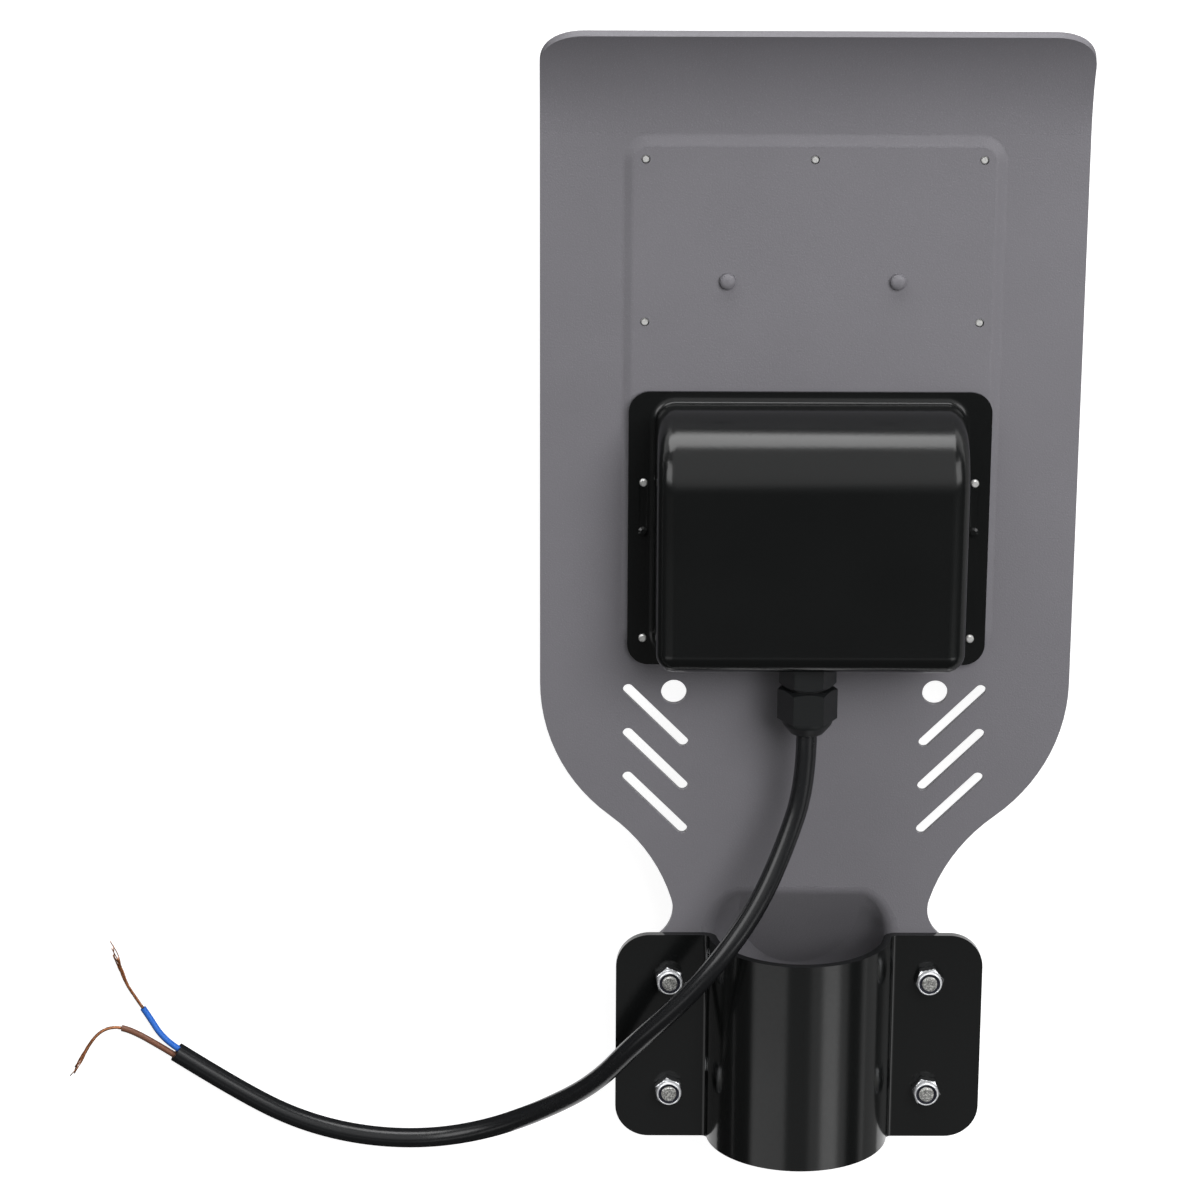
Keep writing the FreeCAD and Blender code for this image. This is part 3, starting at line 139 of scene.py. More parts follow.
# %% [markdown]
# ## Writing node trees
# A finish is a node tree, and so is a recipe of Geometry Nodes. Node trees are hard to read, so
# these classes let one be written as sums and short calls: a Link is one output of a node, and
# adding or multiplying links adds Math nodes. A Finish is a material. A Recipe makes meshes, and
# its named inputs are the sizes that a user may want to turn.

# %% Links and node trees
class Link:
    """One output of a node; sums of links add Math nodes."""

    def __init__(self, nodes, socket):
        self.nodes = nodes
        self.socket = socket

    def math(self, operation, first, second=0.0):
        return self.nodes.node("ShaderNodeMath", {"operation": operation}, {0: first, 1: second})

    def __add__(self, other):
        return self.math("ADD", self, other)

    def __sub__(self, other):
        return self.math("SUBTRACT", self, other)

    def __rsub__(self, other):
        return self.math("SUBTRACT", other, self)

    def __mul__(self, other):
        return self.math("MULTIPLY", self, other)

    __radd__ = __add__
    __rmul__ = __mul__

    def above(self, edge, soft):
        """0 below the edge and 1 above it, with a soft step of some width."""
        return self.nodes.node("ShaderNodeMapRange", {"interpolation_type": "SMOOTHSTEP"}, {
            "Value": self, "From Min": edge - soft / 2, "From Max": edge + soft / 2})


class Nodes:
    """A node tree that is built by short calls."""

    def __init__(self, tree):
        self.tree = tree

    def put(self, socket, value):
        """Give a socket a link or a plain value."""
        if isinstance(value, Link):
            self.tree.links.new(value.socket, socket)
        else:
            socket.default_value = value

    def node(self, kind, settings, inputs, output=0):
        """Any node: its settings first, then the values or links of its sockets."""
        made = self.tree.nodes.new(kind)
        for name, value in settings.items():
            setattr(made, name, value)
        for name, value in inputs.items():
            self.put(made.inputs[name], value)
        return Link(self, made.outputs[output]) if made.outputs else None


print("links ready")


# %% Materials
class Finish(Nodes):
    """A material with one Principled shader and whatever nodes feed it."""

    def __init__(self, name, colour, rough, **others):
        self.material = bpy.data.materials.new(name)
        self.material.use_nodes = True
        super().__init__(self.material.node_tree)
        self.shader = self.tree.nodes["Principled BSDF"]
        self.colour = (*colour, 1.0)
        self.set("Base Color", self.colour)
        self.set("Roughness", rough)
        for socket, value in others.items():
            self.set(socket.replace("_", " "), value)
        self.place = self.node("ShaderNodeTexCoord", {}, {}, "Object")

    def set(self, socket, value):
        """Give one of the shader's sockets a number, a colour or a link."""
        self.put(self.shader.inputs[socket], value)

    def noise(self, per_metre, detail=2.0, rough=0.5):
        """Soft random values about 0.5 at some size of grain."""
        return self.node("ShaderNodeTexNoise", {}, {"Vector": self.place, "Scale": per_metre,
                                                    "Detail": detail, "Roughness": rough}, "Fac")

    def blend(self, share, first, second):
        """One colour that turns into another."""
        return self.node("ShaderNodeMix", {"data_type": "RGBA"},
                         {"Factor": share, 6: first, 7: second}, 2)

    def bump(self, height, tall, strength=1.0):
        """Raise the surface by a height from 0 to 1, tall metres at most."""
        self.set("Normal", self.node("ShaderNodeBump", {}, {"Height": height, "Distance": tall,
                                                            "Strength": strength}))


def shade(colour, factor):
    """The same colour, lighter or darker."""
    return (*[part * factor for part in colour[:3]], 1.0)


print("material classes ready")

# %% [markdown]
# ## Powder coat
# The plate is sprayed with powder and baked, which leaves a fine orange skin with darker and
# lighter grains in it. The grain is small next to the plate, so it must come from noise at a true
# scale. The black paint of the clamp is the same kind of coat, smoother and far glossier.

# %% Coats of paint
GREY = (0.176, 0.171, 0.187)
BLACK = (0.0055, 0.0060, 0.0060)


def coat(name, colour, rough, grain, tall, speck, **others):
    """Baked powder: a fine skin, a few specks, and slow changes of gloss."""
    finish = Finish(name, colour, rough, **others)
    skin = finish.noise(grain, 2.0, 0.55)
    slow = finish.noise(28.0, 2.0)
    specks = finish.noise(grain * 1.7, 1.0).above(0.66, 0.10)
    mottled = finish.blend(slow, shade(finish.colour, 0.955), shade(finish.colour, 1.045))
    finish.set("Base Color", finish.blend(specks * speck, mottled, shade(finish.colour, 1.9)))
    finish.set("Roughness", slow * 0.06 + skin * 0.05 + (rough - 0.055))
    finish.bump(skin, tall)
    return finish


grey_coat = coat("grey_coat", GREY, 0.50, 1500.0, 0.00010, 0.22, Specular_IOR_Level=0.45)
black_coat = coat("black_coat", BLACK, 0.20, 900.0, 0.000014, 0.05)
black_gloss = coat("black_gloss", BLACK, 0.15, 700.0, 0.000010, 0.04)
print("coats:", grey_coat.material.name, black_coat.material.name, black_gloss.material.name)

# %% [markdown]
# ## Metal, rubber, plastic and the lamp's own surfaces
# Zinc on steel has bright grains and duller patches. The nuts carry a painted highlight: above the
# shoulder the collar's colour is lighter and less metallic, and the hexagon below it is darker.
# Cable sheaths are smooth rubber. The lens is clear plastic, and the board under it is white with
# yellow phosphor.

# %% Other finishes
def metal(name, colour, rough, patch):
    """Plated steel with a fine bright grain and some duller patches."""
    finish = Finish(name, colour, rough, Metallic=1.0)
    grain = finish.noise(2600.0, 3.0, 0.7)
    slow = finish.noise(420.0, 2.0)
    finish.set("Base Color", finish.blend(grain, shade(finish.colour, 0.72),
                                          shade(finish.colour, 1.12)))
    finish.set("Roughness", slow * patch + grain * 0.10 + (rough - 0.05 - patch / 2))
    finish.bump(grain, 0.00002)
    return finish


def moulded(name, colour, rough, grain=1400.0, tall=0.00002, spread=0.06, **others):
    """Moulded rubber or plastic: an even colour with a fine grain in its gloss."""
    finish = Finish(name, colour, rough, **others)
    skin = finish.noise(grain, 3.0, 0.6)
    slow = finish.noise(90.0, 2.0)
    finish.set("Base Color", finish.blend(slow, shade(finish.colour, 1 - spread),
                                          shade(finish.colour, 1 + spread)))
    finish.set("Roughness", skin * 0.10 + slow * 0.08 + (rough - 0.09))
    finish.bump(skin, tall)
    return finish


cut_zinc = metal("cut_zinc", (0.86, 0.86, 0.84), 0.42, 0.20)
cut_zinc.set("Metallic", 0.6)
bolt_zinc = metal("bolt_zinc", (0.56, 0.56, 0.54), 0.40, 0.20)
bolt_zinc.set("Metallic", 0.75)
grit = bolt_zinc.noise(1500.0, 3.0, 0.7)
bolt_zinc.set("Base Color", bolt_zinc.blend(grit.above(0.52, 0.25), shade(bolt_zinc.colour, 0.5),
                                            shade(bolt_zinc.colour, 1.75)))
bolt_zinc.bump(grit, 0.00012)
NUT_SHOULDER = 7.05 * MM
nut_zinc = metal("nut_zinc", (0.74, 0.75, 0.77), 0.22, 0.14)
# Painted highlight: above the shoulder the collar is painted lighter and made less metallic, and the
# flats below are painted darker.
apart = nut_zinc.node("ShaderNodeSeparateXYZ", {}, {"Vector": nut_zinc.place}, "Z")
painted_collar_highlight = apart.above(NUT_SHOULDER, 0.3 * MM)
nut_zinc.set("Metallic", 1 - painted_collar_highlight * 0.55)
nut_zinc.set("Base Color", nut_zinc.blend(painted_collar_highlight, shade(nut_zinc.colour, 0.8),
                                          shade(nut_zinc.colour, 1.28)))
copper = metal("copper", (0.62, 0.27, 0.13), 0.36, 0.20)
nylon_ring = moulded("nylon_ring", (0.012, 0.013, 0.022), 0.40)
black_nylon = moulded("black_nylon", (0.0085, 0.0095, 0.010), 0.42, 1800.0, 0.00002)
black_rubber = moulded("black_rubber", (0.012, 0.012, 0.012), 0.62)
white_rubber = moulded("white_rubber", (0.62, 0.62, 0.60), 0.60)
driver_case = moulded("driver_case", (0.42, 0.43, 0.44), 0.45)
black_sheath = moulded("black_sheath", (0.011, 0.0115, 0.0125), 0.25, 900.0, 0.00002)
blue_sheath = moulded("blue_sheath", (0.020, 0.145, 0.60), 0.42)
brown_sheath = moulded("brown_sheath", (0.175, 0.072, 0.040), 0.44)
red_sheath = moulded("red_sheath", (0.50, 0.020, 0.015), 0.42)
board_white = moulded("board_white", (0.70, 0.71, 0.70), 0.40)
chip_body = moulded("chip_body", (0.66, 0.66, 0.62), 0.45)
phosphor = moulded("phosphor", (0.78, 0.56, 0.06), 0.35, 2600.0, 0.00001)
clear_lens = moulded("clear_lens", (0.93, 0.95, 0.96), 0.09, 700.0, 0.000004, 0.01,
                     Transmission_Weight=1.0, IOR=1.49)
print("other finishes ready")

# %% [markdown]
# ## Pieces that keep their solids
# The pressed plate, the clamp, the gland and the driver already have their true shape, with exact
# normals from the solids. They only need their finish, so each node's material slots are filled.

# %% Dress the solids
DRESS = {
    "body_plate": grey_coat, "pole_clamp": black_gloss, "cover_gasket": black_rubber,
    "cover_rivets": black_coat, "gland_body": black_nylon, "gland_locknut": black_nylon,
    "gland_seal": black_rubber, "gland_cap": black_nylon, "led_driver": driver_case,
    "supply_lead": black_sheath, "led_lead_red": red_sheath, "led_lead_black": black_sheath,
    "led_board": board_white, "lens_gasket": white_rubber}


def dress(thing, finish):
    """Fill an object's material slots with one finish."""
    if not thing.data.materials:
        thing.data.materials.append(finish.material)
    for slot in thing.material_slots:
        slot.material = finish.material


for name, finish in DRESS.items():
    dress(nodes[name], finish)
print("dressed:", len(DRESS))

# %% [markdown]
# ## Bolts, nuts and screws
# A bolt, a nut and a screw are turned parts, so each is made once on the Z axis: a profile turned
# about the axis, a hexagon that only limits how far the profile reaches, and a thread that climbs
# one pitch a turn. Geometry Nodes then put a copy on every place. A loop in Python could do that
# too, but the recipe keeps the places, the turn of each copy and the size apart from the shape.

# %% Recipes of Geometry Nodes
def plain_copy(thing, name):
    """The evaluated shape of an object, as a plain mesh of its own."""
    graph = bpy.context.evaluated_depsgraph_get()
    return new_object(name, bpy.data.meshes.new_from_object(
        thing.evaluated_get(graph), preserve_all_data_layers=True, depsgraph=graph))


class Recipe(Nodes):
    """A tree of Geometry Nodes whose sizes are named inputs."""

    def __init__(self, name, **kinds):
        super().__init__(bpy.data.node_groups.new(name, "GeometryNodeTree"))
        face = self.tree.interface
        face.new_socket(name="Result", in_out="OUTPUT", socket_type="NodeSocketGeometry")
        self.names = {given: face.new_socket(name=given, in_out="INPUT",
                                             socket_type="NodeSocket" + kind).identifier
                      for given, kind in kinds.items()}
        self.given = self.tree.nodes.new("NodeGroupInput")

    def input(self, name):
        return Link(self, self.given.outputs[name])

    def end(self, geometry, finish):
        """Make the copies real, paint them and hand them out."""
        real = self.node("GeometryNodeRealizeInstances", {}, {"Geometry": geometry})
        painted = self.node("GeometryNodeSetMaterial", {}, {"Geometry": real, "Material": finish})
        self.node("NodeGroupOutput", {}, {"Result": painted})

    def make(self, name, mesh, **values):
        """Run the recipe on a mesh, and keep what comes out as a plain mesh."""
        host = new_object(name + "_places", mesh)
        modifier = host.modifiers.new("recipe", "NODES")
        modifier.node_group = self.tree
        for given, value in values.items():
            modifier[self.names[given]] = value
        made = plain_copy(host, name)
        bpy.data.objects.remove(host)
        return made


copies = Recipe("copies_on_places", Places="Geometry", Piece="Object", Size="Float",
                Finish="Material")
turn = copies.node("GeometryNodeInputNamedAttribute", {"data_type": "FLOAT"}, {"Name": "turn"})
upright = copies.node("ShaderNodeCombineXYZ", {}, {"Z": turn})
piece = copies.node("GeometryNodeObjectInfo", {}, {"Object": copies.input("Piece")}, "Geometry")
copies.end(copies.node("GeometryNodeInstanceOnPoints", {}, {
    "Points": copies.input("Places"), "Instance": piece, "Rotation": upright,
    "Scale": copies.input("Size")}), copies.input("Finish"))


def spread(name, master, places, finish, node, slot):
    """Put a copy of a master on each place (x, y, turn), and let them stand for any node given."""
    mesh = bpy.data.meshes.new(name + "_places")
    mesh.from_pydata([Vector((x, y, 0)) * MM for x, y, angle in places], [], [])
    turns = mesh.attributes.new("turn", "FLOAT", "POINT")
    turns.data.foreach_set("value", [math.radians(angle) for x, y, angle in places])
    made = copies.make(name, mesh, Piece=master, Size=1.0, Finish=finish.material)
    if node:
        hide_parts(node)
    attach(made, BODY)
    return made


print("recipe:", copies.tree.name, list(copies.names))

# %% [markdown]
# ## Turning and threading
# A lathe and a die make these parts, and two helpers do the same here. The Screw modifier could
# turn both, but rings that are placed by a rule stay closed where a thread runs out, and they let a
# hexagon cut into the turned bevels, which gives the curved edges of a real nut.

# %% Turned shapes and threads
def hex_limit(turn, across):
    """How far a hexagon reaches in a direction, from its width across the flats."""
    return across / 2 / math.cos(turn % (math.pi / 3) - math.pi / 6)


def turned(bm, profile, sides=48, across=None, closed=False):
    """Turn a profile of (radius, height) about Z, inside a hexagon where one is given."""
    rings = []
    for radius, height in profile:
        if radius == 0:
            rings.append([bm.verts.new(Vector((0, 0, height)) * MM)])
            continue
        ring = []
        for side in range(sides):
            angle = math.tau * side / sides
            reach = min(radius, hex_limit(angle, across)) if across else radius
            ring.append(bm.verts.new(
                Vector((math.cos(angle) * reach, math.sin(angle) * reach, height)) * MM))
        rings.append(ring)
    for low, high in list(zip(rings, rings[1:])) + ([(rings[-1], rings[0])] if closed else []):
        for side in range(sides):
            after = (side + 1) % sides
            corners = [low[side % len(low)], low[after % len(low)],
                       high[after % len(high)], high[side % len(high)]]
            bm.faces.new(list(dict.fromkeys(corners)))
    if not closed:
        for ring in (rings[0], rings[-1]):
            if len(ring) > 1:
                bm.faces.new(ring)


THREAD_STEPS = 4


def threaded(bm, radius, low, high, pitch, deep, tip, sides=24):
    """A screw thread between two heights, cut level at both, with a tapered end."""
    rows = int(THREAD_STEPS * ((high - low) / pitch + 2)) + THREAD_STEPS + 3
    grid = []
    for row in range(rows):
        ring = []
        for side in range(sides):
            level = low + (row / THREAD_STEPS + side / sides - 2) * pitch
            groove = row % THREAD_STEPS < THREAD_STEPS / 2 or level <= low
            level = min(max(level, low), high)
            reach = min(radius - deep if groove else radius, tip + high - level)
            angle = math.tau * side / sides
            ring.append(bm.verts.new(
                Vector((math.cos(angle) * reach, math.sin(angle) * reach, level)) * MM))
        grid.append(ring)
    for row in range(rows - 1):
        for side in range(sides):
            last = side == sides - 1
            after = 0 if last else side + 1
            skip = THREAD_STEPS if last else 0
            corners = [grid[row][side], grid[min(row + skip, rows - 1)][after],
                       grid[min(row + 1 + skip, rows - 1)][after], grid[row + 1][side]]
            bm.faces.new(list(dict.fromkeys(corners)))
    bm.faces.new(grid[0])
    bm.faces.new(grid[-1])


def finished(name, bm, angle=32):
    """Merge doubles, turn all faces outwards, and shade smooth apart from true edges."""
    bmesh.ops.remove_doubles(bm, verts=bm.verts, dist=0.001 * MM)
    bmesh.ops.recalc_face_normals(bm, faces=bm.faces)
    mesh = bpy.data.meshes.new(name)
    bm.to_mesh(mesh)
    bm.free()
    mesh.shade_smooth()
    mesh.set_sharp_from_angle(angle=math.radians(angle))
    return new_object(name, mesh)


print("turning and threading ready")

# %% [markdown]
# ## Clamp bolts and their nuts
# Four bolts come up through the plate and the clamp's ears. Each has a self-locking nut: a hexagon
# with a round collar that is rolled in over a nylon ring. Nut and ring are two turned shapes, since
# they are two materials, and each nut sits at the turn that the photograph shows.

# %% Bolts, nuts and rings
BOLT_RADIUS = 2.9
BOLT_PITCH = 1.0
BOLT_DEEP = 0.32
HEX_ACROSS = 10.0
NUT_LOW, NUT_HEX_TOP = 3.0, 7.0
BOLT_TOP, BOLT_UNDER = 9.5, -6.5
PLATE_UNDER = -2.5
BOLTS = [(-50, 20.2, 39), (-50, 66.4, 40), (50, 20.2, 51), (50, 66.4, 10)]


def hex_round(low, high):
    """The bevelled outline of a hexagon between two heights, as a turned profile."""
    bevel = [(4.72, 0), (4.95, 0.12), (5.2, 0.27), (5.5, 0.44), (5.8, 0.62)]
    return ([(radius, low + rise) for radius, rise in bevel] +
            [(radius, high - rise) for radius, rise in bevel[::-1]])


bm = bmesh.new()
turned(bm, [(0, BOLT_UNDER + 0.25), (3.3, BOLT_UNDER + 0.25), (3.5, BOLT_UNDER)] +
       hex_round(BOLT_UNDER, PLATE_UNDER) + [(0, PLATE_UNDER)], 72, HEX_ACROSS)
threaded(bm, BOLT_RADIUS, PLATE_UNDER, BOLT_TOP, BOLT_PITCH, BOLT_DEEP, 2.5, 36)
bolt_master = finished("bolt_master", bm)
bm = bmesh.new()
turned(bm, [(2.95, NUT_LOW)] + hex_round(NUT_LOW, NUT_HEX_TOP) +
       [(4.85, 7.06), (4.85, 8.0), (4.82, 8.25), (4.74, 8.5), (4.61, 8.7), (4.45, 8.86),
        (4.32, 8.95), (4.2, 8.98), (4.1, 8.94), (4.03, 8.85), (4.02, 8.7), (4.12, 8.6),
        (4.12, 7.5), (2.95, 7.5)], 72, HEX_ACROSS, closed=True)
nut_master = finished("nut_master", bm)
bm = bmesh.new()
turned(bm, [(2.95, 7.52), (4.1, 7.52), (4.1, 8.58), (3.7, 8.6), (3.35, 8.52), (3.08, 8.36),
            (2.95, 8.15)], 48, closed=True)
ring_master = finished("ring_master", bm)
straight_places = [(x, y, 0) for x, y, turn in BOLTS]
spread("hex_bolts", bolt_master, straight_places, bolt_zinc, "clamp_bolts", "zinc")
spread("lock_nuts", nut_master, BOLTS, nut_zinc, "clamp_nuts", "zinc")
spread("nylon_rings", ring_master, BOLTS, nylon_ring, "nut_inserts", "black_nylon")
print("bolts and nuts:", len(BOLTS))

# %% [markdown]
# ## Screws
# Pan head screws are driven from the lamp's side, and their ends stand out of the sky side. The
# recess is a cross that narrows with its depth, so it is taken out of the head by a Boolean, which
# is simpler than weaving it into the head's rings.

# %% Screws with a cross recess
SCREW_RADIUS = 1.45
SCREW_PITCH = 0.85
SCREW_DEEP = 0.22
SCREW_SIDE = 61.5
SCREW_ROWS = (204.5, 265.0, 325.5, 386.0)
LENS_UNDER = -6.0
BOARD_UNDER = -2.6
CROSS = [(0.34, 1.5), (0.34, 0.34), (1.5, 0.34)]
CROSS_HEAD = 2.9
CROSS_TAPER = 0.62
BOARD_SCREW_SIDE, BOARD_SCREW_ROW = 31.2, 341.0


def screw(name, under, head, tall, tip):
    """A pan head screw, driven from below, with its thread upwards."""
    bm = bmesh.new()
    turned(bm, [(0, under - tall), (head * 0.45, under - tall), (head * 0.70, under - tall * 0.93),
                (head * 0.87, under - tall * 0.74), (head * 0.97, under - tall * 0.45),
                (head, under - tall * 0.15), (head, under), (0, under)])
    block = finished(name + "_head", bm)
    bm = bmesh.new()
    outline = []
    for quarter in range(4):
        c, s = ((1, 0), (0, 1), (-1, 0), (0, -1))[quarter]
        outline += [(c * x - s * y, s * x + c * y) for x, y in CROSS[::-1]]
    wide = head / CROSS_HEAD
    rings = [[bm.verts.new(Vector((x * share, y * share, under - tall * deep)) * MM)
              for x, y in outline] for share, deep in ((wide, 1.1), (wide * CROSS_TAPER, 0.28))]
    for i in range(len(outline)):
        after = (i + 1) % len(outline)
        bm.faces.new((rings[0][i], rings[0][after], rings[1][after], rings[1][i]))
    bm.faces.new(rings[0])
    bm.faces.new(rings[1])
    cross = finished(name + "_cross", bm)
    cut = block.modifiers.new("cross", "BOOLEAN")
    cut.operation = "DIFFERENCE"
    cut.solver = "EXACT"
    cut.object = cross
    carved = plain_copy(block, name + "_carved")
    bm = bmesh.new()
    bm.from_mesh(carved.data)
    threaded(bm, SCREW_RADIUS, under, tip, SCREW_PITCH, SCREW_DEEP, SCREW_RADIUS * 0.72)
    for scrap in (block, cross, carved):
        bpy.data.objects.remove(scrap)
    return finished(name, bm)


chance = random.Random(5)
sides = [(side * SCREW_SIDE, row) for row in SCREW_ROWS for side in (-1, 1)]
cover_places = [(x, y, chance.uniform(0, 90)) for x, y in sides[:4]]
panel_places = [(x, y, chance.uniform(0, 90))
                for x, y in sides[4:] + [(0, SCREW_ROWS[0]), (0, SCREW_ROWS[-1])]]
board_places = [(side * BOARD_SCREW_SIDE, BOARD_SCREW_ROW, chance.uniform(0, 90))
                for side in (-1, 1)]
long_screw = screw("long_screw", LENS_UNDER, 2.9, 1.8, 4.9)
short_screw = screw("short_screw", LENS_UNDER, 2.9, 1.8, 1.3)
small_screw = screw("small_screw", BOARD_UNDER, 2.32, 1.26, 1.98)
spread("cover_pan_screws", long_screw, cover_places, cut_zinc, "cover_screws", "zinc")
spread("panel_pan_screws", short_screw, panel_places, cut_zinc, "panel_screws", "zinc")
spread("board_pan_screws", small_screw, board_places, cut_zinc, "board_screws", "zinc")
for master in (bolt_master, nut_master, ring_master, long_screw, short_screw, small_screw):
    bpy.data.objects.remove(master)
print("screws:", len(cover_places) + len(panel_places) + len(board_places))

# %% [markdown]
# ## Domes of the bosses
# The board's screws end in two blind bosses of the plate. Pressed from below, such a boss is domed,
# while the solid's is level on top. A turned cap of the same coat, tangent to the boss's round, is
# the lightest way to give it its dome.

# %% Caps on the bosses
bm = bmesh.new()
turned(bm, [(0, 2.6), (2.9, 2.6), (2.985, 2.75), (2.93, 3.0), (2.78, 3.27), (2.5, 3.55), (2.1, 3.8),
            (1.6, 4.0), (1.0, 4.13), (0.5, 4.18), (0, 4.2)], 48)
cap_master = finished("cap_master", bm, 60)
caps = spread("boss_caps", cap_master, board_places, grey_coat, None, "grey_coat")
bpy.data.objects.remove(cap_master)
print("caps:", len(caps.data.polygons), "faces")

# %% [markdown]
# ## Light chips
# The lamp's board carries a grid of light chips, each a pale body with a yellow square of phosphor
# in it. A grid needs no list of places: the recipe below makes its own points from a number of
# columns and rows and two pitches, so the board can be changed by four numbers.

# %% Chips on a grid
CHIP_TOP, CHIP_UNDER = -2.6, -3.5
CHIP_HALF = 2.5
CHIP_MIDDLE = 296.0
COLUMNS, ROWS = 6, 8
PITCH_X, PITCH_Y = 18.0, 21.0
grid_of = Recipe("copies_on_a_grid", Places="Geometry", Piece="Object", Columns="Int", Rows="Int",
                 PitchX="Float", PitchY="Float", Middle="Float", Finish="Material")
across = (grid_of.input("Columns") - 1) * grid_of.input("PitchX")
along = (grid_of.input("Rows") - 1) * grid_of.input("PitchY")
points = grid_of.node("GeometryNodeMeshGrid", {}, {
    "Size X": across, "Size Y": along, "Vertices X": grid_of.input("Columns"),
    "Vertices Y": grid_of.input("Rows")})
shift = grid_of.node("ShaderNodeCombineXYZ", {}, {"Y": grid_of.input("Middle")})
placed = grid_of.node("GeometryNodeTransform", {}, {"Geometry": points, "Translation": shift})
chip = grid_of.node("GeometryNodeObjectInfo", {}, {"Object": grid_of.input("Piece")}, "Geometry")
grid_of.end(grid_of.node("GeometryNodeInstanceOnPoints", {}, {"Points": placed, "Instance": chip}),
            grid_of.input("Finish"))


def pillow(name, half, low, high, bevel):
    """A square block with its edges bevelled."""
    bm = bmesh.new()
    bmesh.ops.create_cube(bm, size=1)
    for vertex in bm.verts:
        vertex.co = Vector((vertex.co.x * 2 * half, vertex.co.y * 2 * half,
                            (low + high) / 2 + vertex.co.z * (high - low))) * MM
    bmesh.ops.bevel(bm, geom=bm.edges[:], offset=bevel * MM, segments=2, profile=0.5,
                    affect="EDGES")
    return finished(name, bm)


def on_board(name, master, finish):
    """A copy of a master on every chip's place."""
    made = grid_of.make(name, bpy.data.meshes.new(name + "_places"), Piece=master,
                        Columns=COLUMNS, Rows=ROWS, PitchX=PITCH_X * MM, PitchY=PITCH_Y * MM,
                        Middle=CHIP_MIDDLE * MM, Finish=finish.material)
    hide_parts("led_chips")
    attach(made, BODY)
    bpy.data.objects.remove(master)
    return made


chips = on_board("chip_bodies", pillow("chip", CHIP_HALF, CHIP_UNDER + 0.15, CHIP_TOP, 0.2),
                 chip_body)
glow_master = pillow("glow", CHIP_HALF * 0.72, CHIP_UNDER, CHIP_TOP - 0.1, 0.12)
glows = on_board("chip_phosphor", glow_master, phosphor)
print("chips:", len(chips.data.polygons), "faces; phosphor:", len(glows.data.polygons))

# %% [markdown]
# ## Lens panel
# Each chip shines through its own small lens, and all of them are moulded in one clear panel. Clear
# plastic shows every inner wall, so a lens must be one skin with the panel and not a cap stuck on.
# The solid's faceted lenses are cut off at the panel, and each open rim is filled with rings that
# follow a smooth dome.

# %% Domes drawn from their rims
DOME_TALL = 4.2
DOME_RINGS = 7
DOME_FULLNESS = 0.85
FIRST_X = -(COLUMNS - 1) * PITCH_X / 2
FIRST_Y = CHIP_MIDDLE - (ROWS - 1) * PITCH_Y / 2


def merged(name):
    """A node's own mesh with its loose triangles joined, to be changed."""
    bm = bmesh.new()
    bm.from_mesh(nodes[name].data)
    bmesh.ops.remove_doubles(bm, verts=bm.verts, dist=0.001 * MM)
    return bm


def evened(thing, name):
    """Shade by face area, so that flat faces stay flat beside their rounds."""
    even = thing.modifiers.new("even", "WEIGHTED_NORMAL")
    even.keep_sharp = True
    made = plain_copy(thing, name)
    bpy.data.objects.remove(thing)
    return made


bm = merged("lens_panel")
lens_level = (LENS_UNDER - 0.01) * MM
bmesh.ops.delete(bm, geom=[vertex for vertex in bm.verts if vertex.co.z < lens_level],
                 context="VERTS")
rims = {}
for edge in bm.edges:
    if edge.is_boundary:
        middle = (edge.verts[0].co + edge.verts[1].co) / 2
        column = round((middle.x / MM - FIRST_X) / PITCH_X)
        row = round((middle.y / MM - FIRST_Y) / PITCH_Y)
        rims.setdefault((column, row), []).append(edge)
for (column, row), edges in rims.items():
    middle = Vector((FIRST_X + column * PITCH_X, FIRST_Y + row * PITCH_Y, LENS_UNDER)) * MM
    for step in range(1, DOME_RINGS + 1):
        share = step / DOME_RINGS
        wide = math.cos(share * math.pi / 2) ** DOME_FULLNESS
        before = math.cos((step - 1) / DOME_RINGS * math.pi / 2) ** DOME_FULLNESS
        grown = bmesh.ops.extrude_edge_only(bm, edges=edges)["geom"]
        edges = [part for part in grown if isinstance(part, bmesh.types.BMEdge)
                 and part.is_boundary]
        for vertex in [part for part in grown if isinstance(part, bmesh.types.BMVert)]:
            flat = (vertex.co - middle).xy * (wide / before)
            vertex.co = (middle.x + flat.x, middle.y + flat.y,
                         middle.z - math.sin(share * math.pi / 2) * DOME_TALL * MM)
lens = evened(finished("lens_draft", bm, 40), "lens_with_domes")
dress(lens, clear_lens)
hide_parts("lens_panel")
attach(lens, BODY)
print("domes:", len(rims), "faces:", len(lens.data.polygons))

# %% [markdown]
# ## Driver cover
# The cover is deep drawn, and its front is one large round that comes close to the flange's edge.
# The solid's front is a little steeper. Drawing the sheet again would lose its exact corners, so
# the solid's own mesh is taken and its front wall is moved onto the larger round, point by point.

# %% Fuller front of the cover
OLD_FRONT = (272.7, 20.0, 19.0)
NEW_FRONT = (269.5, 13.0, 26.0)
FLANGE_TOP = 3.7
FLANGE_INNER = 59.7
FOOT_AHEAD = 294.3
WALL_BLEND = 10
NEAR = 0.05


